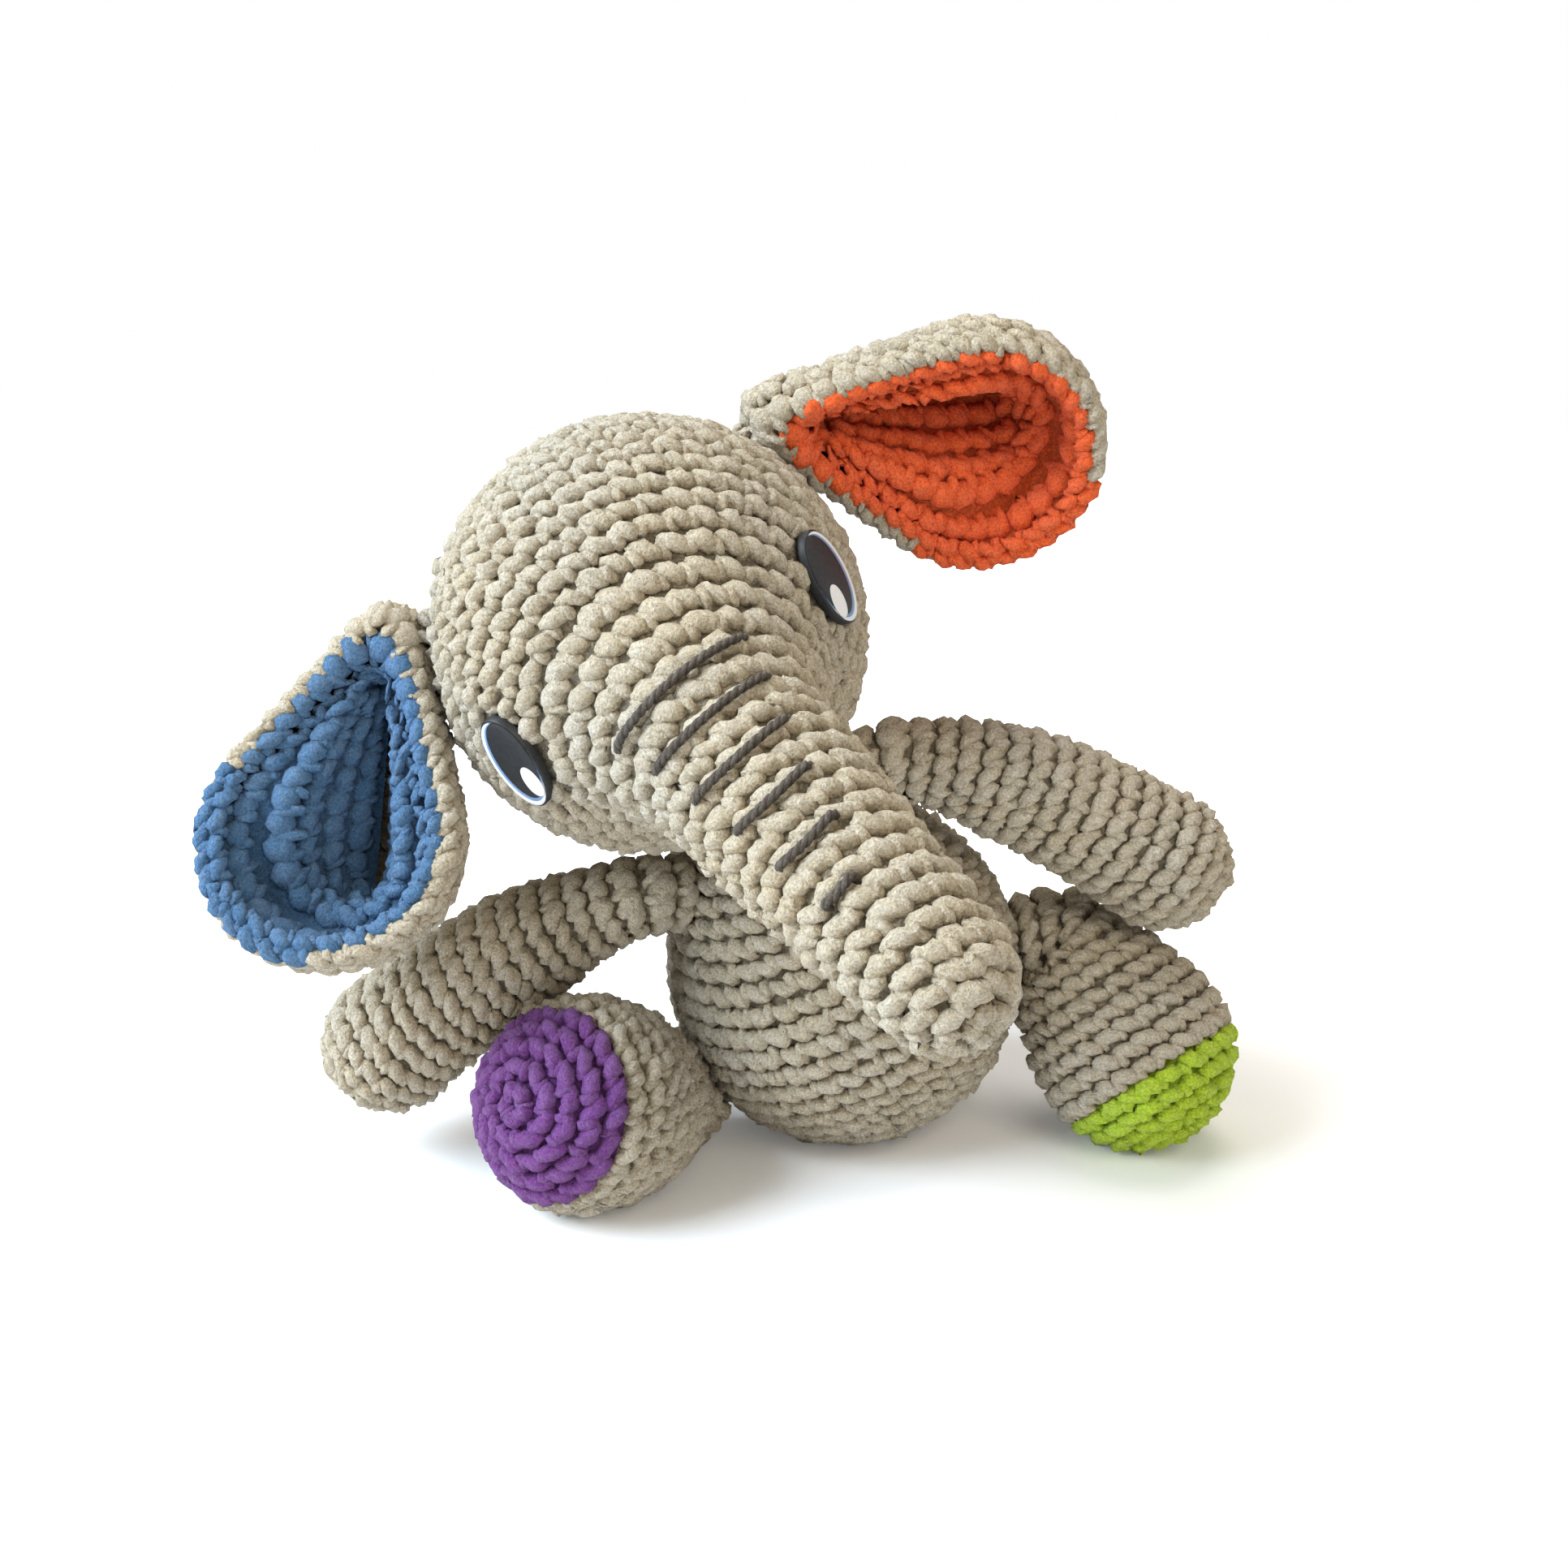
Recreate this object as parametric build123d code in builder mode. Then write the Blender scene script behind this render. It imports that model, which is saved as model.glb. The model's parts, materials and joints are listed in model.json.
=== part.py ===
"""Crocheted elephant in thick plush yarn: it sits on its seat, leaning over to its own right.

Every stuffed piece is a hollow cover with its stuffing inside, so one outline makes both.
Limbs, ears, neck and trunk end in a ball centred on the point they bend about.
"""

from build123d import *
from math import acos, asin, atan2, cos, degrees, radians, sin, sqrt
import os

# ---- Fabric and yarn ------------------------------------------------------------
cover_thickness = 6.0  # crocheted fabric
limb_cover_thickness = 4.5  # the same fabric, worked tighter on the narrow pieces
clearance = 0.3  # gap between soft pieces that move against each other
yarn_radius = 1.7  # sewing and embroidery yarn
seam_radius = 1.8  # the plump yarn of the neck seam
limb_seam_radius = 1.2  # the yarn that sews the limbs and ears on
yarn_sink = 0.7  # how deep a yarn lies in the fabric

# ---- Stance: the toy's own left side and its spine, in the upright frame ---------
side_axis = Vector(0.858, 0.173, 0.483)
spine_axis = Vector(-0.449, -0.204, 0.870)
seat_sink = 5.0  # how much of the round bottom is pressed flat

# ---- Body ------------------------------------------------------------------------
body_radius = 63.0
shoulder_radius = 48.0  # the rounder, smaller top of the egg
shoulder_rise = 19.0  # the shoulders' top above the body's widest ball
neck_sink = 9.0  # the neck's bending point below the shoulders' top
neck_radius = 26.0
neck_rim_drop = 3.0  # the body's rim below the bending point

# ---- Head and eyes -----------------------------------------------------------------
head_radius = 70.0
head_rise = 1.5  # from the neck's bending point up to the head's underside
eye_half_width = 9.5
eye_half_height = 15.0
eye_edge = 3.2
eye_bevel = 1.0
eye_sink = 1.6
eye_post_radius = 2.2
eye_post_length = 13.0
washer_radius = 7.5
washer_thickness = 1.8
washer_gap = 0.4
eye_direction = (0.775, -0.63, 0.025)  # on the left side, mirrored on the right

# ---- Trunk -------------------------------------------------------------------------
trunk_direction = (0.0, -0.989, -0.150)  # where it leaves the head
trunk_sink = 0.0  # how far inside the head's surface the root's bending point lies
trunk_root_radius = 31.0
trunk_middle_radius = 24.6
trunk_joint_radius = 22.6
trunk_tip_radius = 19.0
trunk_upper_length = 60.0
trunk_tip_length = 50.0
trunk_run = Vector(0.547, -0.734, -0.402)  # upright frame
wrinkle_first = 4.0
wrinkle_pitch = 16.0
wrinkle_count = 6
wrinkle_turn = 10.0  # the wrinkles sit a little to the left of the trunk's top
wrinkle_spans = (114.0, 96.0, 84.0, 72.0, 60.0, 36.0)  # degrees round the trunk
lip_drop = 3.3  # the upper length's lip stops this far before the middle bending point

# ---- Ears --------------------------------------------------------------------------
ear_root_radius = 12.0
ear_waist_radius = 9.8
ear_waist_length = 12.0
ear_radius = 41.0
ear_length = 67.0
ear_cut = 8.0  # how far the cupped edge comes past the middle
ear_direction = (0.87, 0.17, 0.465)
ear_runs = {"left": Vector(0.985, 0.07, -0.153), "right": Vector(-0.22, -0.45, -0.865)}
ear_faces = {"left": Vector(0.05, -0.93, -0.36), "right": Vector(0.05, -0.72, 0.69)}

# ---- Arms: radii at the sewn end, the waist, the elbow and the hand -----------------
arm_radii = (11.0, 8.0, 20.5, 24.0)
arm_waist_length = 12.0
upper_arm_length = 46.0
forearm_length = 62.0
arm_azimuth = 15.0  # degrees in front of the toy's side
arm_seam_gap = 2.5  # between the neck's seam and each arm's, over the shoulder
upper_arm_runs = {"left": Vector(0.98, 0.03, -0.14), "right": Vector(-0.88, 0.08, -0.38)}
forearm_runs = {"left": Vector(0.87, 0.04, -0.50), "right": Vector(-0.78, 0.05, -0.62)}

# ---- Legs: radii at the sewn end, the waist and the foot ------------------------------
leg_radii = (15.0, 13.0, 35.5)
leg_waist_length = 10.0
leg_reaches = {"left": 32.3, "right": 44.0}  # level, from the sewn end to the foot's centre
leg_roots = {"left": (0.92, -0.20, -0.34), "right": (-0.97, -0.16, -0.03)}
leg_headings = {"left": Vector(0.70, -0.60), "right": Vector(-0.58, -0.81)}
foot_sink = 1.5
sole_angle = 55.0  # half angle of the coloured cap of the foot

sides = {"left": 1, "right": -1}

# ---- Places worked out from the sizes ------------------------------------------------
seat_height = body_radius - seat_sink
toy = Plane(origin=(0, 0, seat_height), x_dir=side_axis, z_dir=spine_axis)
body_centre = toy.origin
shoulder_height = body_radius + shoulder_rise - shoulder_radius
neck_height = shoulder_height + shoulder_radius - neck_sink
spine = toy.z_dir
shoulder_centre = body_centre + spine * shoulder_height
neck_pivot = body_centre + spine * neck_height
head_centre = neck_pivot + spine * (head_rise + head_radius)
trunk_axis = trunk_run.normalized()


def toy_vector(direction):
    """Turn a direction in the toy's own axes into the upright frame."""
    x, y, z = direction
    return (toy.x_dir * x + toy.y_dir * y + toy.z_dir * z).normalized()


def mirrored(direction, sign):
    """Mirror a left-hand direction to the wanted side."""
    return (direction[0] * sign, direction[1], direction[2])


def run_plane(origin, direction):
    """A drawing plane whose local Y runs along the direction."""
    along = direction.normalized()
    helper = Vector(0, 0, 1) if abs(along.Z) < 0.9 else Vector(1, 0, 0)
    across = along.cross(helper).normalized()
    return Plane(origin=origin, x_dir=across, z_dir=across.cross(along))


def stuffed_form(points, radii, shrink=0.0):
    """The skin stretched over a row of balls, drawn in by `shrink`."""
    with BuildPart() as form:
        for start, end, wide, narrow in zip(points, points[1:], radii, radii[1:]):
            first = wide - shrink
            last = narrow - shrink
            length = (end - start).length
            slope = degrees(asin((first - last) / length))
            with BuildSketch(run_plane(start, end - start)):
                with BuildLine():
                    lower = CenterArc((0, 0), first, -90, 90 + slope)
                    upper = CenterArc((0, length), last, slope, 90 - slope)
                    Line(lower @ 1, upper @ 0)
                    Line(upper @ 1, lower @ 0)
                make_face()
            revolve(axis=Axis(start, end - start))
    return form.part


def touch_angle(ball_height, radius, point):
    """Where a straight line through the point touches a ball of the outline, in degrees."""
    across = point[0]
    up = point[1] - ball_height
    turn = acos(radius / sqrt(across**2 + up**2))
    return degrees(atan2(up, across) - turn if up > 0 else atan2(up, across) + turn)


def necked_form(points, radii, waist_length, shrink=0.0):
    """A small sewn-on ball, a narrow waist and a larger ball, drawn in by `shrink`."""
    start, end = points
    small, waist, large = [radius - shrink for radius in radii]
    length = (end - start).length
    waist_point = (waist, waist_length)
    small_angle = touch_angle(0, small, waist_point)
    large_angle = touch_angle(length, large, waist_point)
    with BuildPart() as form:
        with BuildSketch(run_plane(start, end - start)):
            with BuildLine():
                lower = CenterArc((0, 0), small, -90, 90 + small_angle)
                upper = CenterArc((0, length), large, large_angle, 90 - large_angle)
                Polyline(lower @ 1, waist_point, upper @ 0)
                Line(upper @ 1, lower @ 0)
            make_face()
        revolve(axis=Axis(start, end - start))
    return form.part


def arm_form(points, shrink=0.0):
    """An upper arm narrowing to its sewn end, bent at the elbow into the forearm."""
    with BuildPart() as form:
        add(necked_form(points[:2], arm_radii[:3], arm_waist_length, shrink))
        add(stuffed_form(points[1:], arm_radii[2:], shrink))
    return form.part


def yarn_ring(centre, axis, radius, tube, arc=360.0, start=None):
    """A ring or an arc of round yarn about an axis."""
    across = (start or run_plane(centre, axis).x_dir).normalized()
    with BuildPart() as ring:
        with BuildSketch(Plane(origin=centre, x_dir=across, z_dir=across.cross(axis.normalized()))):
            with Locations((radius, 0)):
                Circle(tube)
        revolve(axis=Axis(centre, axis), revolution_arc=arc)
    return ring.part


def seam_notch(ball_radius, ground_radius):
    """Where a limb's sewing yarn lies: how far below the limb's pivot, and its ring's radius."""
    apart = ball_radius + clearance + ground_radius
    to_pivot = ball_radius + clearance + limb_seam_radius
    to_ground = ground_radius + limb_seam_radius
    drop = (apart**2 + to_pivot**2 - to_ground**2) / (2 * apart)
    return drop, sqrt(to_pivot**2 - drop**2)


def seam_ring(pivot, normal, ball_radius, ground_radius):
    """The sewing yarn in the notch between a limb's ball and the round surface under it."""
    drop, radius = seam_notch(ball_radius, ground_radius)
    return yarn_ring(pivot - normal * drop, normal, radius, limb_seam_radius)


def save(piece, name):
    """Label a finished piece and write its file."""
    piece.part.label = name
    export_step(piece.part, f"parts/{name}.step")


os.makedirs("parts", exist_ok=True)

# ---- Limbs: where each one starts and runs --------------------------------------------
neck_socket = neck_radius + clearance
neck_seam_radius = sqrt((neck_socket + seam_radius) ** 2 - (neck_rim_drop - seam_radius) ** 2)
neck_seam_lift = neck_height - neck_rim_drop + seam_radius - shoulder_height
arm_lift = shoulder_radius + clearance + arm_radii[0]
arm_seam_drop, arm_seam_radius = seam_notch(arm_radii[0], shoulder_radius)
arm_angle = atan2(neck_seam_radius, neck_seam_lift) + atan2(arm_seam_radius, arm_lift - arm_seam_drop)
arm_angle += (seam_radius + arm_seam_gap + limb_seam_radius) / shoulder_radius
arm_side = cos(radians(arm_azimuth)) * sin(arm_angle)
arm_front = sin(radians(arm_azimuth)) * sin(arm_angle)
arm_points = {}
leg_points = {}
ear_points = {}
arm_normals = {}
leg_normals = {}
ear_normals = {}
for side, sign in sides.items():
    arm_normals[side] = toy_vector((arm_side * sign, -arm_front, cos(arm_angle)))
    arm_points[side] = [shoulder_centre + arm_normals[side] * arm_lift]
    arm_points[side].append(arm_points[side][0] + upper_arm_runs[side].normalized() * upper_arm_length)
    arm_points[side].append(arm_points[side][1] + forearm_runs[side].normalized() * forearm_length)
    leg_normals[side] = toy_vector(leg_roots[side])
    hip = body_centre + leg_normals[side] * (body_radius + clearance + leg_radii[0])
    drop = leg_radii[2] - foot_sink - hip.Z
    level = leg_headings[side].normalized() * leg_reaches[side]
    leg_points[side] = [hip, hip + level + Vector(0, 0, drop)]
    ear_normals[side] = toy_vector(mirrored(ear_direction, sign))
    ear_root = head_centre + ear_normals[side] * (head_radius + clearance + ear_root_radius)
    ear_run = ear_runs[side].normalized()
    ear_points[side] = [ear_root, ear_root + ear_run * ear_length]

# ---- Body and neck ----------------------------------------------------------------------
egg_points = [body_centre, shoulder_centre]
egg_radii = [body_radius, shoulder_radius]
rim_centre = neck_pivot - spine * neck_rim_drop
rim_plane = Plane(origin=rim_centre, z_dir=spine)

with BuildPart() as body_stuffing:
    add(stuffed_form(egg_points, egg_radii, cover_thickness))
    with Locations(neck_pivot):
        Sphere(neck_socket + cover_thickness, mode=Mode.SUBTRACT)
    split(bisect_by=Plane.XY.offset(cover_thickness), keep=Keep.TOP)

with BuildPart() as body_cover:
    add(stuffed_form(egg_points, egg_radii))
    split(bisect_by=Plane.XY, keep=Keep.TOP)
    split(bisect_by=rim_plane, keep=Keep.BOTTOM)
    with Locations(neck_pivot):
        Sphere(neck_socket, mode=Mode.SUBTRACT)
    add(body_stuffing.part, mode=Mode.SUBTRACT)

with BuildPart() as neck_seam:
    add(yarn_ring(rim_centre + spine * seam_radius, spine, neck_seam_radius, seam_radius))

with BuildPart() as neck_stuffing:
    with Locations(neck_pivot):
        Sphere(neck_radius - cover_thickness)

with BuildPart() as neck_cover:
    with Locations(neck_pivot):
        Sphere(neck_radius)
    add(neck_stuffing.part, mode=Mode.SUBTRACT)

save(body_cover, "body_cover")
save(body_stuffing, "body_stuffing")
save(neck_seam, "neck_seam")
save(neck_cover, "neck_cover")
save(neck_stuffing, "neck_stuffing")

# ---- Eyes: a domed oval disc on a post, held by a washer inside the head ------------------
eye_discs = {}
eye_posts = {}
eye_washers = {}
eye_recesses = {}
for side, sign in sides.items():
    normal = toy_vector(mirrored(eye_direction, sign))
    base = head_centre + normal * (head_radius - eye_sink)
    across = spine.cross(normal).normalized()
    eye_plane = Plane(origin=base, x_dir=across, z_dir=normal)
    with BuildPart() as disc:
        with BuildSketch(eye_plane):
            Ellipse(eye_half_width, eye_half_height)
        extrude(amount=eye_edge)
        chamfer(disc.faces().sort_by(Axis(base, normal))[-1].edges(), length=eye_bevel)
    eye_discs[side] = disc.part
    with BuildPart() as post:
        with BuildSketch(eye_plane):
            Circle(eye_post_radius)
        extrude(amount=-eye_post_length)
    eye_posts[side] = post.part
    washer_top = sqrt((head_radius - cover_thickness) ** 2 - washer_radius**2) - washer_gap
    washer_plane = Plane(origin=head_centre + normal * washer_top, z_dir=normal)
    with BuildPart() as washer:
        with BuildSketch(washer_plane):
            Circle(washer_radius)
            Circle(eye_post_radius, mode=Mode.SUBTRACT)
        extrude(amount=-washer_thickness)
    eye_washers[side] = washer.part
    with BuildPart() as recess:
        with BuildSketch(washer_plane):
            Circle(washer_radius)
        extrude(amount=-washer_thickness)
        extrude(recess.faces().sort_by(Axis(base, normal))[-1], amount=head_radius - washer_top)
    eye_recesses[side] = recess.part

# ---- Head ---------------------------------------------------------------------------------
trunk_root = head_centre + toy_vector(trunk_direction) * (head_radius - trunk_sink)
trunk_middle = trunk_root + trunk_axis * trunk_upper_length
trunk_tip = trunk_middle + trunk_axis * trunk_tip_length
trunk_socket = trunk_root_radius + clearance

with BuildPart() as head_stuffing:
    with Locations(head_centre):
        Sphere(head_radius - cover_thickness)
    with Locations(neck_pivot):
        Sphere(neck_socket + cover_thickness, mode=Mode.SUBTRACT)
    with Locations(trunk_root):
        Sphere(trunk_socket + cover_thickness, mode=Mode.SUBTRACT)
    for side in sides:
        add(eye_posts[side], mode=Mode.SUBTRACT)
        add(eye_recesses[side], mode=Mode.SUBTRACT)

with BuildPart() as head_cover:
    with Locations(head_centre):
        Sphere(head_radius)
        Sphere(head_radius - cover_thickness, mode=Mode.SUBTRACT)
    with Locations(neck_pivot):
        Sphere(neck_socket + cover_thickness)
    with Locations(trunk_root):
        Sphere(trunk_socket + cover_thickness)
    with Locations(head_centre):
        Sphere(head_radius, mode=Mode.INTERSECT)
    with Locations(neck_pivot):
        Sphere(neck_socket, mode=Mode.SUBTRACT)
    with Locations(trunk_root):
        Sphere(trunk_socket, mode=Mode.SUBTRACT)
    for side in sides:
        add(eye_discs[side], mode=Mode.SUBTRACT)
        add(eye_posts[side], mode=Mode.SUBTRACT)

save(head_cover, "head_cover")
save(head_stuffing, "head_stuffing")

for side in sides:
    with BuildPart() as eye:
        add(eye_discs[side])
        add(eye_posts[side])
    save(eye, f"{side}_eye")
    with BuildPart() as eye_washer:
        add(eye_washers[side])
    save(eye_washer, f"{side}_eye_washer")

# ---- Trunk: an upper length and a tip, each bending at its root --------------------------------
joint_socket = trunk_joint_radius + clearance
upper_end = trunk_upper_length - lip_drop
slope_rise = trunk_root_radius - trunk_middle_radius


def trunk_radius(distance):
    """The trunk's radius at a distance from its root's bending point."""
    if distance < upper_end:
        return trunk_root_radius - slope_rise * distance / trunk_upper_length
    past = (distance - trunk_upper_length) / trunk_tip_length
    return trunk_joint_radius + (trunk_tip_radius - trunk_joint_radius) * past


wrinkle_side = toy.z_dir - trunk_axis * toy.z_dir.dot(trunk_axis)
wrinkle_forms = []
for number in range(wrinkle_count):
    distance = wrinkle_first + wrinkle_pitch * number
    place = trunk_root + trunk_axis * distance
    span = wrinkle_spans[number]
    begin = wrinkle_side.rotate(Axis((0, 0, 0), trunk_axis), wrinkle_turn - span / 2)
    ring_radius = trunk_radius(distance) + yarn_radius - yarn_sink
    wrinkle_forms.append((distance, yarn_ring(place, trunk_axis, ring_radius, yarn_radius, span, begin)))

upper_points = [trunk_root, trunk_middle]
upper_radii = [trunk_root_radius, trunk_middle_radius]
upper_form = stuffed_form(upper_points, upper_radii)
upper_core = stuffed_form(upper_points, upper_radii, limb_cover_thickness)
lip_plane = Plane(origin=trunk_root + trunk_axis * upper_end, z_dir=trunk_axis)

with BuildPart() as trunk_stuffing:
    add(upper_core)
    split(bisect_by=lip_plane, keep=Keep.BOTTOM)
    with Locations(trunk_middle):
        Sphere(joint_socket + limb_cover_thickness, mode=Mode.SUBTRACT)

with BuildPart() as trunk_cover:
    add(upper_form)
    split(bisect_by=lip_plane, keep=Keep.BOTTOM)
    with Locations(trunk_middle):
        Sphere(joint_socket, mode=Mode.SUBTRACT)
    add(trunk_stuffing.part, mode=Mode.SUBTRACT)
    for distance, wrinkle_form in wrinkle_forms:
        if distance < upper_end:
            add(wrinkle_form, mode=Mode.SUBTRACT)

tip_points = [trunk_middle, trunk_tip]
tip_radii = [trunk_joint_radius, trunk_tip_radius]

with BuildPart() as trunk_tip_stuffing:
    add(stuffed_form(tip_points, tip_radii, limb_cover_thickness))

with BuildPart() as trunk_tip_cover:
    add(stuffed_form(tip_points, tip_radii))
    add(trunk_tip_stuffing.part, mode=Mode.SUBTRACT)
    for distance, wrinkle_form in wrinkle_forms:
        if distance > upper_end:
            add(wrinkle_form, mode=Mode.SUBTRACT)

save(trunk_cover, "trunk_cover")
save(trunk_stuffing, "trunk_stuffing")
save(trunk_tip_cover, "trunk_tip_cover")
save(trunk_tip_stuffing, "trunk_tip_stuffing")

for number, (distance, wrinkle_form) in enumerate(wrinkle_forms, start=1):
    with BuildPart() as wrinkle:
        add(wrinkle_form)
    save(wrinkle, f"trunk_wrinkle_{number}")

# ---- Ears: a cupped grey back with a coloured lining --------------------------------------------
ear_radii = [ear_root_radius, ear_waist_radius, ear_radius]
for side in sides:
    points = ear_points[side]
    along = ear_runs[side].normalized()
    face = ear_faces[side]
    opening = (face - along * face.dot(along)).normalized()
    cut_plane = Plane(origin=points[0] + opening * ear_cut, z_dir=opening)
    outer_shape = necked_form(points, ear_radii, ear_waist_length)
    middle_shape = necked_form(points, ear_radii, ear_waist_length, limb_cover_thickness)
    inner_shape = necked_form(points, ear_radii, ear_waist_length, 2 * limb_cover_thickness)
    with BuildPart() as ear_outer:
        add(outer_shape)
        add(middle_shape, mode=Mode.SUBTRACT)
        split(bisect_by=cut_plane, keep=Keep.BOTTOM)
    save(ear_outer, f"{side}_ear_outer")
    with BuildPart() as ear_lining:
        add(middle_shape)
        add(inner_shape, mode=Mode.SUBTRACT)
        split(bisect_by=cut_plane, keep=Keep.BOTTOM)
    save(ear_lining, f"{side}_ear_lining")
    with BuildPart() as ear_seam:
        add(seam_ring(points[0], ear_normals[side], ear_root_radius, head_radius))
    save(ear_seam, f"{side}_ear_seam")

# ---- Arms ----------------------------------------------------------------------------------------
for side in sides:
    points = arm_points[side]
    with BuildPart() as arm_stuffing:
        add(arm_form(points, limb_cover_thickness))
    with BuildPart() as arm_cover:
        add(arm_form(points))
        add(arm_stuffing.part, mode=Mode.SUBTRACT)
    with BuildPart() as arm_seam:
        add(seam_ring(points[0], arm_normals[side], arm_radii[0], shoulder_radius))
    save(arm_cover, f"{side}_arm_cover")
    save(arm_stuffing, f"{side}_arm_stuffing")
    save(arm_seam, f"{side}_arm_seam")

# ---- Legs: the coloured sole closes the foot -------------------------------------------------------
for side in sides:
    points = leg_points[side]
    along = (points[1] - points[0]).normalized()
    sole_plane = Plane(origin=points[1] + along * leg_radii[2] * cos(radians(sole_angle)), z_dir=along)
    with BuildPart() as leg_stuffing:
        add(necked_form(points, leg_radii, leg_waist_length, cover_thickness))
    with BuildPart() as leg_skin:
        add(necked_form(points, leg_radii, leg_waist_length))
        split(bisect_by=Plane.XY, keep=Keep.TOP)
        add(leg_stuffing.part, mode=Mode.SUBTRACT)
    with BuildPart() as leg_cover:
        add(leg_skin.part)
        split(bisect_by=sole_plane, keep=Keep.BOTTOM)
    with BuildPart() as sole:
        add(leg_skin.part)
        split(bisect_by=sole_plane, keep=Keep.TOP)
    with BuildPart() as leg_seam:
        add(seam_ring(points[0], leg_normals[side], leg_radii[0], body_radius))
    save(leg_cover, f"{side}_leg_cover")
    save(leg_stuffing, f"{side}_leg_stuffing")
    save(sole, f"{side}_sole")
    save(leg_seam, f"{side}_leg_seam")
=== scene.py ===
"""A crocheted plush elephant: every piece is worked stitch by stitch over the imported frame."""
from __future__ import annotations

import json
import logging
import math
from dataclasses import dataclass, field
from enum import Enum

import bpy
import numpy as np
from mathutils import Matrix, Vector

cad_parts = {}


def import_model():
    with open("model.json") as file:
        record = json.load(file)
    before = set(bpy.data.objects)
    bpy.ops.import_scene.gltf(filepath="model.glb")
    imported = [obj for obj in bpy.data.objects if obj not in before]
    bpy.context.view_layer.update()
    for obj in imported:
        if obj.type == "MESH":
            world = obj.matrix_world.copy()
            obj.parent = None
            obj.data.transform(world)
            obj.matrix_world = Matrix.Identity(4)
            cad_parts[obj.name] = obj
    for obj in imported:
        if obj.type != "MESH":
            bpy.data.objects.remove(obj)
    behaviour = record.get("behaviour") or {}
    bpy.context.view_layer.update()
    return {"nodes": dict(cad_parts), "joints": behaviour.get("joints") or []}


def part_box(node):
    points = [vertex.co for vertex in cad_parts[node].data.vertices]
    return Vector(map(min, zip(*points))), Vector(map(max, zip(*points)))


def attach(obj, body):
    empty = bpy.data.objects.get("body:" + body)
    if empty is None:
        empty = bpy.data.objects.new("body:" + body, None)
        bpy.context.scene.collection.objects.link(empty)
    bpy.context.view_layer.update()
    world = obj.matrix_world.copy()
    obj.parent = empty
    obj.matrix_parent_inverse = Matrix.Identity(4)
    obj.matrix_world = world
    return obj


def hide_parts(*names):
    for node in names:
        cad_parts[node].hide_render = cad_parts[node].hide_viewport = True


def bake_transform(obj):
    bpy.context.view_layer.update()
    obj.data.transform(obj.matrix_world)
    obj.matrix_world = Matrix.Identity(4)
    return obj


LOG = logging.getLogger("elephant")
BACKING_DEPTH = 0.0032  # how far under its surface the ground of a fabric lies, in metres
EAR_BACKING_DEPTH = 0.0030
LOWEST = 0.0004  # no stitch lies lower than this over the floor
SHOULDER_RISE = 0.034  # from the middle of the body's wide part to that of its narrow part
WHITE = (1.0, 1.0, 1.0)
BLACK = (0.0, 0.0, 0.0)
Colour = tuple[float, float, float]


class Side(Enum):
    """The toy's own sides."""

    LEFT = "left"
    RIGHT = "right"

    @property
    def sign(self) -> float:
        """Plus one on the left, minus one on the right."""
        return 1.0 if self is Side.LEFT else -1.0


class Facing(Enum):
    """Which way the stitches of a fabric stand out."""

    OUT = 1.0
    IN = -1.0


# ---- Small vector helpers ------------------------------------------------------------


def unit(vector: np.ndarray) -> np.ndarray:
    """Scale vectors along the last axis to length one."""
    return vector / np.maximum(np.linalg.norm(vector, axis=-1, keepdims=True), 1e-9)


def smooth(value: np.ndarray) -> np.ndarray:
    """Smoothstep of values clipped to 0..1."""
    clipped = np.clip(value, 0.0, 1.0)
    return clipped * clipped * (3.0 - 2.0 * clipped)


def travelled_along(line: np.ndarray) -> np.ndarray:
    """Distance from the start of a line to each of its points."""
    return np.concatenate([[0.0], np.cumsum(np.linalg.norm(np.diff(line, axis=0), axis=1))])


def frame_about(axis: np.ndarray, hint: np.ndarray) -> tuple[np.ndarray, np.ndarray]:
    """Two unit vectors square to an axis.

    Args:
        axis: The direction to be square to.
        hint: A direction that the first vector leans towards.

    Returns:
        The two vectors, right-handed with the axis.
    """
    first = unit(hint - axis * float(hint @ axis))
    return first, np.cross(axis, first)


def tube_quads(rows: int, around: int) -> np.ndarray:
    """Faces between neighbouring rings of points, indexed by ring and place round it."""
    place = np.arange(rows * around).reshape(rows, around)
    after = np.roll(place, -1, axis=1)
    return np.stack([place[:-1], after[:-1], after[1:], place[1:]], axis=-1)


# ---- Meshes ----------------------------------------------------------------------------


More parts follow.
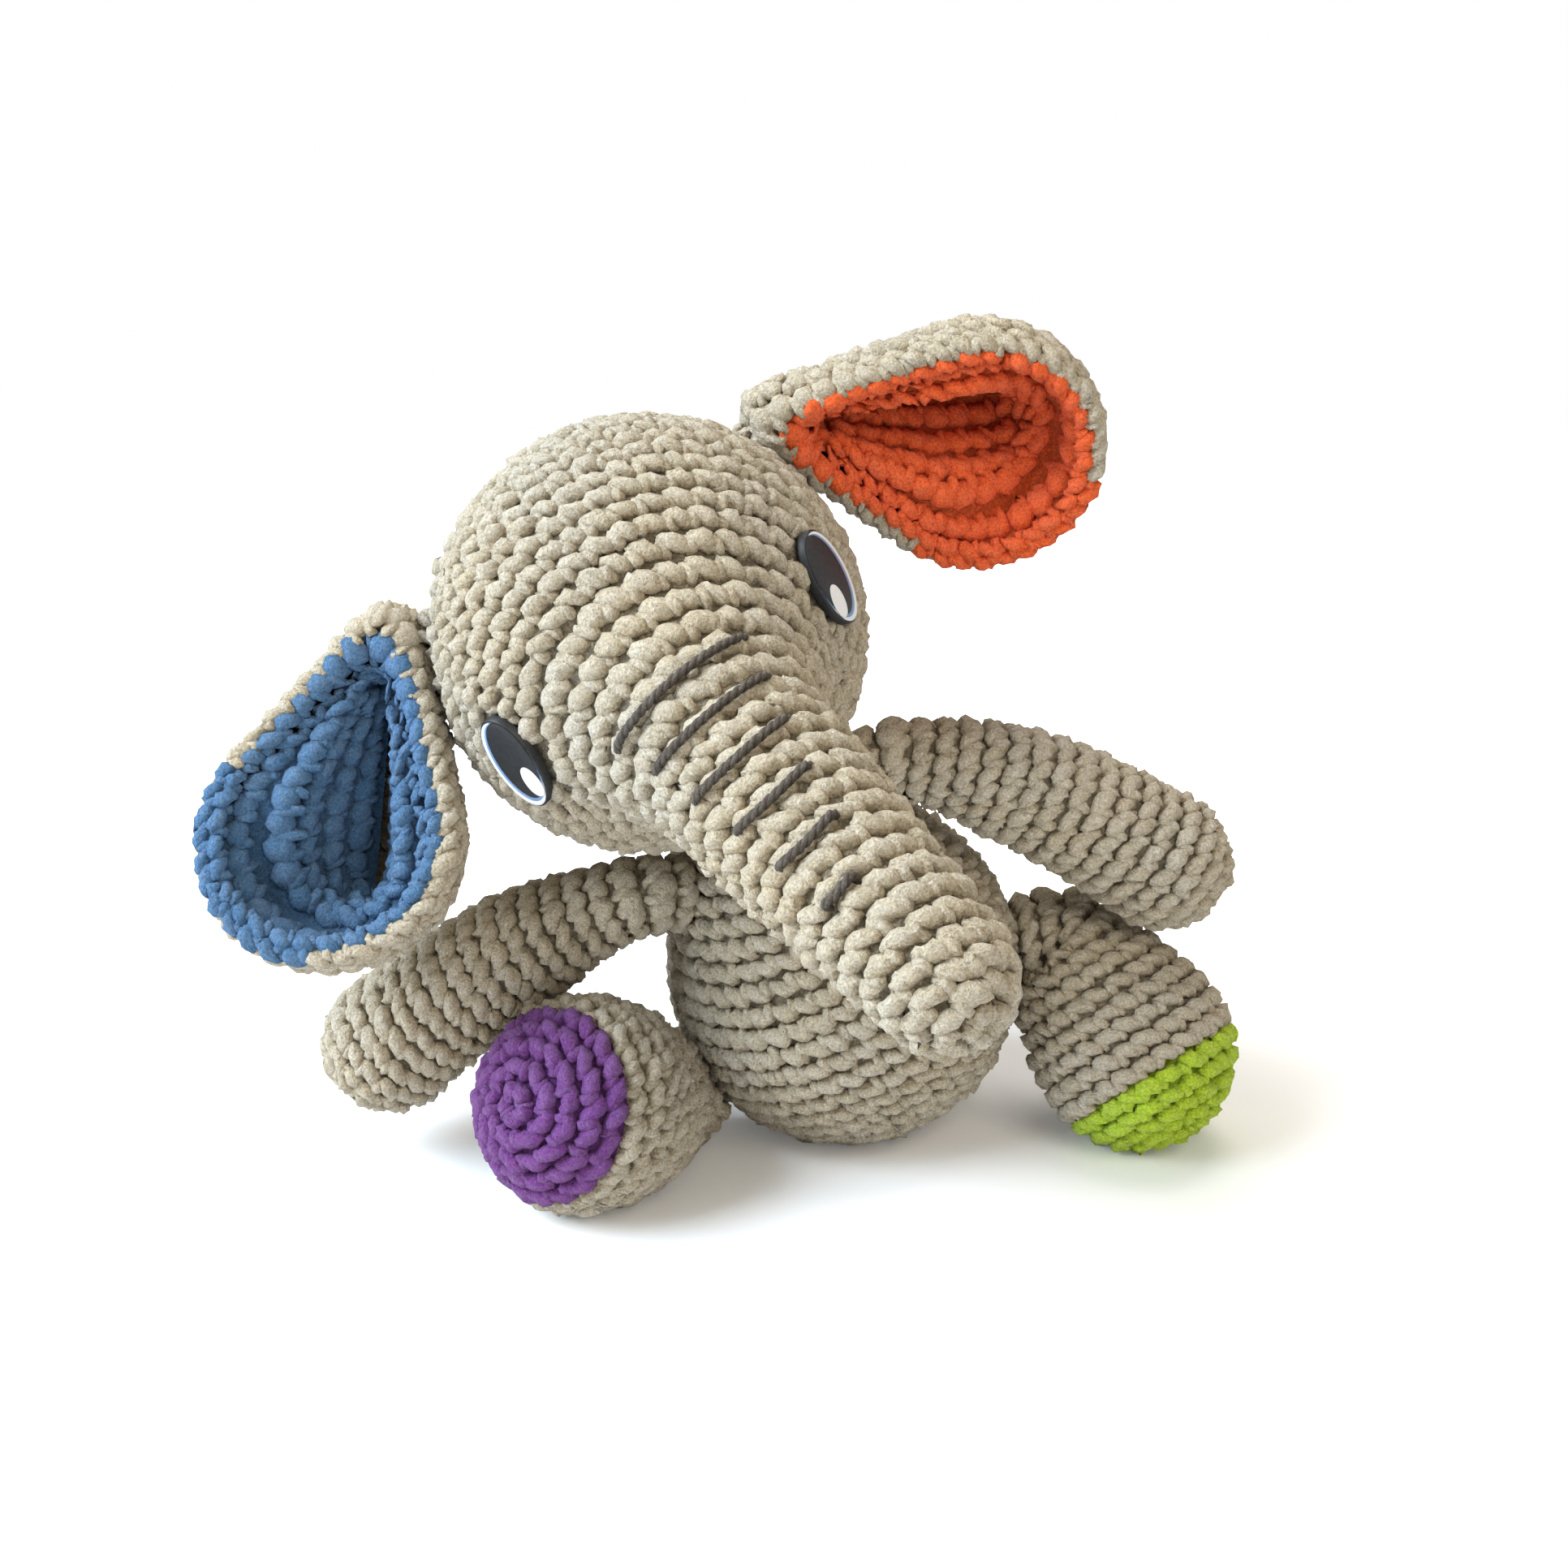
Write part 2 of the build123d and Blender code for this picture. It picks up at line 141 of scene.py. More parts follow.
@dataclass
class Cloth:
    """Points, faces and per-point values of one mesh while it is being put together."""

    points: list[np.ndarray] = field(default_factory=list)
    quads: list[np.ndarray] = field(default_factory=list)
    triangles: list[np.ndarray] = field(default_factory=list)
    crest: list[np.ndarray] = field(default_factory=list)
    tint: list[np.ndarray] = field(default_factory=list)
    count: int = 0

    def add(self, points: np.ndarray, quads: np.ndarray | None, triangles: np.ndarray | None,
            crest: np.ndarray, tint: np.ndarray) -> None:
        """Join more geometry on.

        Args:
            points: New points, one row each.
            quads: Four-cornered faces that index the new points, or None.
            triangles: Three-cornered faces that index the new points, or None.
            crest: How far each point stands out of the fabric, 0 to 1; the yarn's material paints shade where
                it is low and light where it is high.
            tint: A random shade for each point, 0 to 1.
        """
        if quads is not None and len(quads):
            self.quads.append(quads + self.count)
        if triangles is not None and len(triangles):
            self.triangles.append(triangles + self.count)
        self.points.append(points)
        self.crest.append(crest)
        self.tint.append(tint)
        self.count += len(points)

    def build(self, name: str, material: bpy.types.Material,
              floor: float | None = None) -> bpy.types.Object:
        """Make the object.

        Args:
            name: The object's name.
            material: Its finish.
            floor: A height that no point goes below, or None.

        Returns:
            The new object, linked to the scene.
        """
        points = np.concatenate(self.points)
        if floor is not None:
            points[:, 2] = np.maximum(points[:, 2], floor)
        quads = np.concatenate(self.quads) if self.quads else np.zeros((0, 4), int)
        triangles = np.concatenate(self.triangles) if self.triangles else np.zeros((0, 3), int)
        mesh = bpy.data.meshes.new(name)
        mesh.vertices.add(len(points))
        mesh.vertices.foreach_set("co", points.astype(np.float32).ravel())
        corners = np.concatenate([quads.ravel(), triangles.ravel()]).astype(np.int32)
        mesh.loops.add(len(corners))
        mesh.loops.foreach_set("vertex_index", corners)
        starts = np.concatenate([np.arange(len(quads)) * 4, len(quads) * 4 + np.arange(len(triangles)) * 3])
        mesh.polygons.add(len(starts))
        mesh.polygons.foreach_set("loop_start", starts.astype(np.int32))
        mesh.polygons.foreach_set("use_smooth", np.ones(len(starts), bool))
        mesh.update(calc_edges=True)
        for label, values in (("crest", self.crest), ("tint", self.tint)):
            layer = mesh.attributes.new(label, "FLOAT", "POINT")
            layer.data.foreach_set("value", np.concatenate(values).astype(np.float32))
        mesh.materials.append(material)
        piece = bpy.data.objects.new(name, mesh)
        bpy.context.scene.collection.objects.link(piece)
        return piece


@dataclass(frozen=True)
class Lobe:
    """One plump loop of yarn: a closed oval form with slightly drawn-in ends."""

    around: int = 10
    rings: int = 7

    def form(self) -> tuple[np.ndarray, np.ndarray, np.ndarray]:
        """Build the unit loop.

        Returns:
            Its points (along, across, up), its quads and its triangles.
        """
        turn = np.linspace(0, 2 * np.pi, self.around, endpoint=False)
        along = np.cos(np.linspace(np.pi, 0, self.rings + 2)[1:-1])
        girth = (1 - np.abs(along) ** 2.3) ** 0.55
        rings = np.stack([np.repeat(along, self.around), np.outer(girth, np.cos(turn)).ravel(),
                          np.outer(girth, np.sin(turn)).ravel()], axis=1)
        points = np.vstack([rings, [[-1, 0, 0], [1, 0, 0]]])
        row = np.arange(self.around)
        after = (row + 1) % self.around
        quads = tube_quads(self.rings, self.around).reshape(-1, 4)
        last = (self.rings - 1) * self.around
        low = np.full(self.around, self.rings * self.around)
        triangles = [np.stack([after, row, low], axis=1),
                     np.stack([row + last, after + last, low + 1], axis=1)]
        return points, quads, np.concatenate(triangles)


@dataclass(frozen=True)
class Gauge:
    """How thickly the fabric is worked, in metres."""

    stitch: float = 0.0085
    row: float = 0.0076
    lean: float = 0.3
    sink: float = 0.0026


@dataclass
class Stitches:
    """Where each stitch of a fabric sits: place, row direction, column direction and outward normal."""

    place: np.ndarray
    along: np.ndarray
    up: np.ndarray
    out: np.ndarray
    width: np.ndarray
    height: np.ndarray
    row: np.ndarray

    def kept(self, mask: np.ndarray) -> Stitches:
        """The stitches that a mask picks."""
        return Stitches(self.place[mask], self.along[mask], self.up[mask], self.out[mask],
                        self.width[mask], self.height[mask], self.row[mask])


@dataclass
class Fabric:
    """A piece of crochet laid over a grid of points.

    The grid's first index runs from row to row and its second goes round.
    """

    grid: np.ndarray
    gauge: Gauge
    facing: Facing
    seed: int

    def normals(self) -> np.ndarray:
        """Outward normals of the grid's points."""
        round_way = np.roll(self.grid, -1, axis=1) - np.roll(self.grid, 1, axis=1)
        row_way = np.gradient(self.grid, axis=0)
        return unit(np.cross(round_way, row_way)) * self.facing.value

    def stitches(self) -> Stitches:
        """Place the stitches at an even gauge along and across the fabric.

        Returns:
            Every stitch's place and directions.
        """
        rng = np.random.default_rng(self.seed)
        steps = np.linalg.norm(np.diff(self.grid, axis=0), axis=2)
        mean_steps = steps.mean(axis=1)
        travelled = np.concatenate([[0.0], np.cumsum(mean_steps)])
        row_count = max(1, round(travelled[-1] / self.gauge.row))
        pitch = travelled[-1] / row_count
        shift = rng.uniform(0, 1)
        parts: list[list[np.ndarray]] = [[] for _ in range(7)]
        for number in range(row_count):
            distance = (number + 0.5) * pitch
            index = min(int(np.searchsorted(travelled, distance) - 1), len(mean_steps) - 1)
            share = (distance - travelled[index]) / mean_steps[index]
            ring = self.grid[index] * (1 - share) + self.grid[index + 1] * share
            rise = self.grid[index + 1] - self.grid[index]
            stretch = steps[index] / mean_steps[index]
            sides = np.linalg.norm(np.roll(ring, -1, axis=0) - ring, axis=1)
            lengths = np.concatenate([[0.0], np.cumsum(sides)])
            count = max(5, round(lengths[-1] / self.gauge.stitch))
            shift += self.gauge.lean
            wanted = ((np.arange(count) + shift) % count) * lengths[-1] / count
            wanted += rng.normal(0, 0.05, count) * self.gauge.stitch
            wanted %= lengths[-1]
            low = np.clip(np.searchsorted(lengths, wanted, side="right") - 1, 0, len(ring) - 1)
            high = (low + 1) % len(ring)
            part = ((wanted - lengths[low]) / np.maximum(sides[low], 1e-9))[:, None]
            place = ring[low] * (1 - part) + ring[high] * part
            along = unit(ring[high] - ring[low])
            up = unit(rise[low] * (1 - part) + rise[high] * part)
            out = unit(np.cross(along, up)) * self.facing.value
            up = np.cross(out, along) * self.facing.value
            parts[0].append(place)
            parts[1].append(along)
            parts[2].append(up)
            parts[3].append(out)
            parts[4].append(np.full(count, lengths[-1] / count))
            parts[5].append(pitch * (stretch[low] * (1 - part[:, 0]) + stretch[high] * part[:, 0]))
            parts[6].append(np.full(count, number))
        return Stitches(*[np.concatenate(part) for part in parts])

    def backing(self, cloth: Cloth, depth: float, first: float = 0.0, last: float = 1.0,
                columns: np.ndarray | None = None) -> None:
        """Add the dense ground between and under the stitches; its colour is the yarn's painted shade.

        Args:
            cloth: The mesh to add to.
            depth: How far below the fabric's surface it lies.
            first: Where it starts, as a share of the grid's rows.
            last: Where it ends, as a share of the grid's rows.
            columns: Which columns it covers, or None for all.
        """
        begin = int(first * (len(self.grid) - 1))
        end = int(math.ceil(last * (len(self.grid) - 1))) + 1
        points = (self.grid - self.normals() * depth)[begin:end]
        rows, around = points.shape[:2]
        quads = tube_quads(rows, around)
        quads = (quads if columns is None else quads[:, columns]).reshape(-1, 4)
        flat = points.reshape(-1, 3)
        # crest 0: the ground takes the darkest painted shade colour
        cloth.add(flat, quads, None, np.zeros(len(flat)), np.full(len(flat), 0.5))
        for ring in (points[0], points[-1]):
            if np.linalg.norm(ring - ring.mean(axis=0), axis=1).max() < 0.004:
                disc = np.vstack([ring, ring.mean(axis=0)])
                turn = np.arange(around)
                fan = np.stack([turn, (turn + 1) % around, np.full(around, around)], axis=1)
                cloth.add(disc, None, fan, np.zeros(around + 1), np.full(around + 1, 0.5))


@dataclass
class Hook:
    """Works the loops of each stitch into a mesh."""

    seed: int
    fuzz: float = 0.00036

    def work(self, cloth: Cloth, stitches: Stitches, sink: float) -> None:
        """Add both loops of every stitch.

        Args:
            cloth: The mesh to add to.
            stitches: Where the stitches sit.
            sink: How far below the surface the loops' middles lie, in metres.
        """
        width = stitches.width[:, None]
        height = stitches.height[:, None]
        side = np.cross(stitches.out, stitches.along)
        self.loops(cloth, Lobe(9, 6), stitches, stitches.place - stitches.out * sink - side * height * 0.04,
                   -27.0, np.hstack([width * 0.62, height * 0.38, np.full_like(width, 0.0034)]))
        beside = (stitches.place - stitches.out * (sink + 0.0004) + stitches.along * width * 0.42
                  + side * height * 0.12)
        self.loops(cloth, Lobe(8, 4), stitches, beside, -66.0,
                   np.hstack([height * 0.44, width * 0.28, np.full_like(width, 0.0030)]))

    def loops(self, cloth: Cloth, lobe: Lobe, stitches: Stitches, centre: np.ndarray, slant: float,
              size: np.ndarray) -> None:
        """Add one loop at each stitch.

        Args:
            cloth: The mesh to add to.
            lobe: The loop's form.
            stitches: The stitches' directions.
            centre: The middle of each loop.
            slant: The loop's angle to its row as seen from outside, in degrees.
            size: Half the length, half the width and half the height of each loop.
        """
        rng = np.random.default_rng(self.seed + int(abs(slant)))
        form, quads, triangles = lobe.form()
        count = len(centre)
        angle = np.radians(slant + rng.normal(0, 6.0, count))[:, None]
        side = np.cross(stitches.out, stitches.along)
        ways = np.stack([stitches.along * np.cos(angle) + side * np.sin(angle),
                         side * np.cos(angle) - stitches.along * np.sin(angle), stitches.out], axis=1)
        scale = size * rng.normal(1.0, 0.06, (count, 3))
        place = centre + stitches.out * rng.normal(0, 0.0003, (count, 1))
        bowed = form.copy()
        bowed[:, 1] += 0.08 - 0.16 * (1 - form[:, 0] ** 2)
        points = place[:, None, :] + np.einsum("vk,ck,ckx->cvx", bowed, scale, ways)
        points += rng.normal(0, self.fuzz, points.shape)
        offsets = (np.arange(count) * len(form))[:, None, None]
        # painted light and shade: a loop's upper side gets a high crest, painted lighter; its underside a low
        # one, painted darker
        crest = np.tile(np.clip(form[:, 2] * 0.5 + 0.5, 0, 1), count)
        tint = rng.uniform(0, 1, count)
        cloth.add(points.reshape(-1, 3), (quads[None] + offsets).reshape(-1, 4),
                  (triangles[None] + offsets).reshape(-1, 3), crest, np.repeat(tint, len(form)))


# ---- Grids ------------------------------------------------------------------------------


def ring_grid(centres: np.ndarray, axes: np.ndarray, radii: np.ndarray, hint: np.ndarray,
              around: int) -> np.ndarray:
    """A grid of circles along a line.

    Args:
        centres: The circles' middles.
        axes: The circles' axes.
        radii: The circles' radii.
        hint: The direction that each circle starts near.
        around: Points on each circle.

    Returns:
        Points indexed by circle and place round it.
    """
    turn = np.linspace(0, 2 * np.pi, around, endpoint=False)
    rows = []
    for centre, axis, radius in zip(centres, axes, radii):
        first, second = frame_about(unit(axis), hint)
        rows.append(centre + radius * (np.outer(np.cos(turn), first) + np.outer(np.sin(turn), second)))
    return np.array(rows)


def hull_profile(wide: float, narrow: float, length: float,
                 samples: int = 70) -> tuple[np.ndarray, np.ndarray]:
    """The outline of a skin stretched over two balls, from the first ball's pole to the second's.

    Args:
        wide: Radius of the ball at height 0.
        narrow: Radius of the ball at the height `length`.
        length: Distance between the balls' centres.
        samples: How many points each ball's share of the outline gets.

    Returns:
        Heights and radii along the outline.
    """
    slope = math.asin((wide - narrow) / length)
    low = np.linspace(-math.pi / 2, slope, samples)
    high = np.linspace(slope, math.pi / 2, samples)
    straight = np.linspace(0, 1, 24)[1:-1]
    low_end = np.array([wide * math.sin(slope), wide * math.cos(slope)])
    high_end = np.array([length + narrow * math.sin(slope), narrow * math.cos(slope)])
    middle = low_end[None] * (1 - straight[:, None]) + high_end[None] * straight[:, None]
    heights = np.concatenate([wide * np.sin(low), middle[:, 0], length + narrow * np.sin(high)])
    radii = np.concatenate([wide * np.cos(low), middle[:, 1], narrow * np.cos(high)])
    return heights, np.maximum(radii, 0.0004)


def bent_line(points: list[np.ndarray], samples: int = 60) -> np.ndarray:
    """A smooth centre line for a limb.

    Args:
        points: Where it is sewn on, its bending point, its bend and the middle of its round end.
        samples: Points from the bending point on.

    Returns:
        Points from the first place to the last. The bend is rounded, and the root runs in smoothly.
    """
    start, first, middle, last = points
    share = np.linspace(0, 1, samples)[:, None]
    bend = middle * 1.5 - (first + last) * 0.25
    curve = first * (1 - share) ** 2 + bend * 2 * share * (1 - share) + last * share ** 2
    root = start + np.linspace(0, 1, 10, endpoint=False)[:, None] * (first - start)
    curve = np.vstack([root, curve])
    for _ in range(30):
        curve[1:-20] = (curve[:-21] + curve[1:-20] * 2 + curve[2:-19]) / 4
    return curve


# ---- Finishes -----------------------------------------------------------------------------


class NodePen:
    """Lays out shader nodes with short calls."""

    def __init__(self, tree: bpy.types.NodeTree) -> None:
        """Remember the tree that the nodes go into."""
        self.tree = tree

    def node(self, kind: str, **settings: object) -> bpy.types.Node:
        """Add a node and set its properties."""
        made = self.tree.nodes.new(kind)
        for name, value in settings.items():
            setattr(made, name, value)
        return made

    def link(self, source: bpy.types.NodeSocket, target: bpy.types.NodeSocket) -> None:
        """Join two sockets."""
        self.tree.links.new(source, target)

    def feed(self, value: object, socket: bpy.types.NodeSocket) -> None:
        """Give a socket its value, which is another socket or a constant."""
        if isinstance(value, bpy.types.NodeSocket):
            self.link(value, socket)
        else:
            socket.default_value = value

    def math(self, operation: str, first: object, second: object) -> bpy.types.NodeSocket:
        """Add a math node whose inputs are sockets or numbers, and return its output."""
        made = self.node("ShaderNodeMath", operation=operation)
        for socket, value in zip(made.inputs, (first, second)):
            self.feed(value, socket)
        return made.outputs[0]

    def plus(self, first: object, second: object, weight: object) -> bpy.types.NodeSocket:
        """The first value and a weighted second one."""
        return self.math("ADD", first, self.math("MULTIPLY", second, weight))

    def swing(self, total: object, noise: bpy.types.NodeSocket, weight: object) -> bpy.types.NodeSocket:
        """A value that noise moves up and down by a weight."""
        return self.plus(total, self.math("SUBTRACT", noise, 0.5), weight)

    def rescale(self, value: bpy.types.NodeSocket, given: tuple[float, float],
                wanted: tuple[float, float] = (0.0, 1.0), curve: str = "LINEAR") -> bpy.types.NodeSocket:
        """Carry a value from one range over to another, and return it."""
        made = self.node("ShaderNodeMapRange", interpolation_type=curve)
        for label, number in zip(("From Min", "From Max", "To Min", "To Max"), (*given, *wanted)):
            made.inputs[label].default_value = number
        self.link(value, made.inputs["Value"])
        return made.outputs[0]

    def blend(self, factor: object, first: object, second: object,
              mode: str = "MIX") -> bpy.types.NodeSocket:
        """Mix two colours, each a socket or a constant, and return the result."""
        made = self.node("ShaderNodeMix", data_type="RGBA", blend_type=mode)
        for label, value in (("Factor", factor), ("A", first), ("B", second)):
            self.feed(value, made.inputs[label])
        return made.outputs["Result"]

    def noise(self, scale: float, detail: float = 2.0, roughness: float = 0.5) -> bpy.types.NodeSocket:
        """Add noise over the object's own coordinates, and return its value."""
        place = self.node("ShaderNodeTexCoord")
        made = self.node("ShaderNodeTexNoise")
        made.inputs["Scale"].default_value = scale
        made.inputs["Detail"].default_value = detail
        made.inputs["Roughness"].default_value = roughness
        self.link(place.outputs["Object"], made.inputs["Vector"])
        return made.outputs["Fac"]


CREST_PAINTED_SHADING = 0.62  # how much painted light makes a loop's top lighter than its painted-shaded foot
TINT_SHADE = 0.16  # how much one loop differs from the next
CLUMP_SHADE = 0.35
WARM_TONE = (1.06, 1.0, 0.88, 1.0)
COOL_TONE = (0.93, 0.99, 1.08, 1.0)


def pile_group() -> bpy.types.ShaderNodeTree:
    """The velvety pile of plush yarn, with painted shade at the loops' feet and painted highlights on their
    tops, as a node group built once.

    Returns:
        A group that takes the yarn's painted-highlight, middle and painted-shade colours and gives colour,
        roughness and height.
    """
    found = bpy.data.node_groups.get("plush_pile")
    if found:
        return found
    group = bpy.data.node_groups.new("plush_pile", "ShaderNodeTree")
    for name in ("Tip Colour", "Yarn Colour", "Deep Colour"):
        group.interface.new_socket(name, in_out="INPUT", socket_type="NodeSocketColor")
    for name in ("Mottle", "Roughness"):
        group.interface.new_socket(name, in_out="INPUT", socket_type="NodeSocketFloat")
    group.interface.new_socket("Colour", in_out="OUTPUT", socket_type="NodeSocketColor")
    for name in ("Roughness", "Height"):
        group.interface.new_socket(name, in_out="OUTPUT", socket_type="NodeSocketFloat")
    pen = NodePen(group)
    given = pen.node("NodeGroupInput")
    result = pen.node("NodeGroupOutput")
    crest = pen.node("ShaderNodeAttribute", attribute_name="crest").outputs["Fac"]
    tint = pen.node("ShaderNodeAttribute", attribute_name="tint").outputs["Fac"]
    tufts = pen.noise(620.0, 4.0, 0.7)
    fibres = pen.noise(1250.0, 3.0, 0.75)
    clumps = pen.noise(240.0)
    patches = pen.noise(16.0)
    # painted light and shade: a loop's top (high crest) is painted lighter and its foot darker, plus random
    # tint and noise
    shade = pen.plus(pen.math("MULTIPLY", crest, CREST_PAINTED_SHADING), tint, TINT_SHADE)
    shade = pen.swing(shade, tufts, given.outputs["Mottle"])
    shade = pen.swing(shade, clumps, CLUMP_SHADE)
    deep, yarn, tip = (given.outputs[f"{name} Colour"] for name in ("Deep", "Yarn", "Tip"))
    # blend from the painted shade colour through the yarn's colour up to the painted highlight colour
    low = pen.blend(pen.rescale(shade, (0.05, 0.45)), deep, yarn)
    high = pen.blend(pen.rescale(shade, (0.45, 1.0)), low, tip)
    tone = pen.blend(patches, WARM_TONE, COOL_TONE)
    grain = pen.node("ShaderNodeVectorMath", operation="SCALE")
    pen.link(tone, grain.inputs[0])
    pen.link(pen.rescale(fibres, (0.35, 0.65), (0.66, 1.22)), grain.inputs["Scale"])
    pen.link(pen.blend(1.0, high, grain.outputs["Vector"], "MULTIPLY"), result.inputs["Colour"])
    pen.link(pen.plus(given.outputs["Roughness"], tufts, 0.12), result.inputs["Roughness"])
    pen.link(pen.plus(pen.math("MULTIPLY", tufts, 0.7), fibres, 0.5), result.inputs["Height"])
    return group


def blank_material(name: str) -> tuple[bpy.types.Material, NodePen, bpy.types.Node]:
    """A new material with the pen that draws its nodes and its shader."""
    made = bpy.data.materials.new(name)
    made.use_nodes = True
    return made, NodePen(made.node_tree), made.node_tree.nodes["Principled BSDF"]


def mixed(colour: Colour, other: Colour, share: float) -> tuple[float, float, float, float]:
    """A colour part of the way to another, with full opacity."""
    return tuple(a * (1 - share) + b * share for a, b in zip(colour, other)) + (1.0,)


@dataclass(frozen=True)
class PlushYarn:
    """Thick chenille yarn in one colour."""

    name: str
    colour: Colour
    # tip: how far the painted highlight on the loops' tops goes towards white
    tip: float
    # deep: how far the painted shade at the loops' feet and in the ground goes towards black
    deep: float = 0.45
    mottle: float = 0.8
    sheen: float = 0.15

    def material(self) -> bpy.types.Material:
        """Build the yarn's material, or find it if it is already built."""
        found = bpy.data.materials.get(f"{self.name}_pile")
        if found:
            return found
        made, pen, shader = blank_material(f"{self.name}_pile")
        pile = pen.node("ShaderNodeGroup", node_tree=pile_group())
        # the painted highlight, the yarn's own colour and the painted shade
        pile.inputs["Tip Colour"].default_value = mixed(self.colour, WHITE, self.tip)
        pile.inputs["Yarn Colour"].default_value = (*self.colour, 1.0)
        pile.inputs["Deep Colour"].default_value = mixed(self.colour, BLACK, self.deep)
        pile.inputs["Mottle"].default_value = self.mottle
        pile.inputs["Roughness"].default_value = 0.85
        bump = pen.node("ShaderNodeBump")
        bump.inputs["Strength"].default_value = 0.9
        bump.inputs["Distance"].default_value = 0.0022
        pen.link(pile.outputs["Height"], bump.inputs["Height"])
        pen.link(bump.outputs["Normal"], shader.inputs["Normal"])
        pen.link(pile.outputs["Colour"], shader.inputs["Base Color"])
        pen.link(pile.outputs["Roughness"], shader.inputs["Roughness"])
        shader.inputs["Sheen Weight"].default_value = self.sheen
        shader.inputs["Sheen Roughness"].default_value = 0.45
        shader.inputs["Sheen Tint"].default_value = mixed(self.colour, WHITE, 0.6)
        shader.inputs["Specular IOR Level"].default_value = 0.15
        return made


@dataclass(frozen=True)
class MouldedPlastic:
    """Moulded plastic, polished or plain."""

    name: str
    colour: Colour
    roughness: float
    coat: float

    def material(self) -> bpy.types.Material:
        """Build the plastic's material, or find it if it is already built."""
        found = bpy.data.materials.get(f"{self.name}_moulding")
        if found:
            return found
        made, pen, shader = blank_material(f"{self.name}_moulding")
        grain = pen.noise(900.0, 3.0, 0.6)
        dull, bright = mixed(self.colour, BLACK, 0.08), mixed(self.colour, WHITE, 0.03)
        pen.link(pen.blend(grain, dull, bright), shader.inputs["Base Color"])
        pen.link(pen.plus(self.roughness, grain, 0.06), shader.inputs["Roughness"])
        shader.inputs["Coat Weight"].default_value = self.coat
        shader.inputs["Coat Roughness"].default_value = 0.05
        shader.inputs["Specular IOR Level"].default_value = 0.3
        return made


# tip sets each yarn's painted highlight, deep its painted shade
GREIGE = PlushYarn("greige_yarn", (0.55, 0.46, 0.325), tip=0.28, deep=0.62, mottle=1.4)
PURPLE = PlushYarn("purple_yarn", (0.20, 0.055, 0.26), tip=0.08, mottle=1.1)
GREEN = PlushYarn("green_yarn", (0.52, 0.70, 0.035), tip=0.06, mottle=1.1)
BLUE = PlushYarn("blue_yarn", (0.080, 0.19, 0.36), tip=0.08, mottle=1.1)
ORANGE = PlushYarn("orange_yarn", (1.0, 0.15, 0.035), tip=0.05, deep=0.5, mottle=1.1, sheen=0.1)
DARK_YARN = PlushYarn("wrinkle_yarn", (0.095, 0.075, 0.058), tip=0.10, deep=0.6)
EYE_BLACK = MouldedPlastic("eye_black", (0.004, 0.004, 0.005), 0.42, 0.0)
EYE_WHITE = MouldedPlastic("eye_white", (0.80, 0.80, 0.80), 0.35, 0.1)
EYE_BLUE = MouldedPlastic("eye_blue", (0.16, 0.29, 0.52), 0.35, 0.1)
WASHER_WHITE = MouldedPlastic("washer_white", (0.75, 0.75, 0.73), 0.4, 0.0)


def crocheted(fabric: Fabric, name: str, finish: PlushYarn, seed: int, stitches: Stitches, sink: float,
              ends: tuple[float, float] = (0.0, 1.0), floor: float | None = None) -> bpy.types.Object:
    """Work a fabric's ground and loops into one piece.

    Args:
        fabric: The fabric that the stitches belong to.
        name: The piece's name.
        finish: Its yarn.
        seed: What the loops' small differences start from.
        stitches: The stitches to work.
        sink: How far below the surface the loops' middles lie, in metres.
        ends: Where its ground starts and ends, as shares of the grid's rows.
        floor: A height that no point goes below, or None.

    Returns:
        The new piece.
    """
    cloth = Cloth()
    fabric.backing(cloth, BACKING_DEPTH, *ends)
    Hook(seed).work(cloth, stitches, sink)
    return cloth.build(name, finish.material(), floor)


# ---- Where everything is --------------------------------------------------------------------


@dataclass
class Stance:
    """The toy's own directions and bending points, read from the frame."""

    joints: dict[str, dict]
    head_lift: float = 0.0715
    neck_height: float = 0.073

    def pivot(self, joint: str) -> np.ndarray:
        """The place of a bending point."""
        return np.array(self.joints[joint]["pos_m"], float)

    def axis(self, joint: str) -> np.ndarray:
        """The direction of a bending axis."""
        return unit(np.array(self.joints[joint]["axis"], float))

    @property
    def spine(self) -> np.ndarray:
        """From the seat to the crown."""
        return self.axis("neck_turn")

    @property
    def left(self) -> np.ndarray:
        """Towards the toy's own left."""
        return self.axis("head_nod")

    @property
    def back(self) -> np.ndarray:
        """Towards the back of the toy."""
        return np.cross(self.spine, self.left)

    def toward(self, left: float, back: float, up: float) -> np.ndarray:
        """A unit direction in the toy's own axes, given in the upright frame."""
        return unit(self.left * left + self.back * back + self.spine * up)

    @property
    def head_centre(self) -> np.ndarray:
        """The middle of the head."""
        return self.pivot("neck_turn") + self.spine * self.head_lift

    @property
    def body_centre(self) -> np.ndarray:
        """The middle of the body's wide part."""
        return self.pivot("neck_turn") - self.spine * self.neck_height


# ---- Sub-assemblies ----------------------------------------------------------------------------


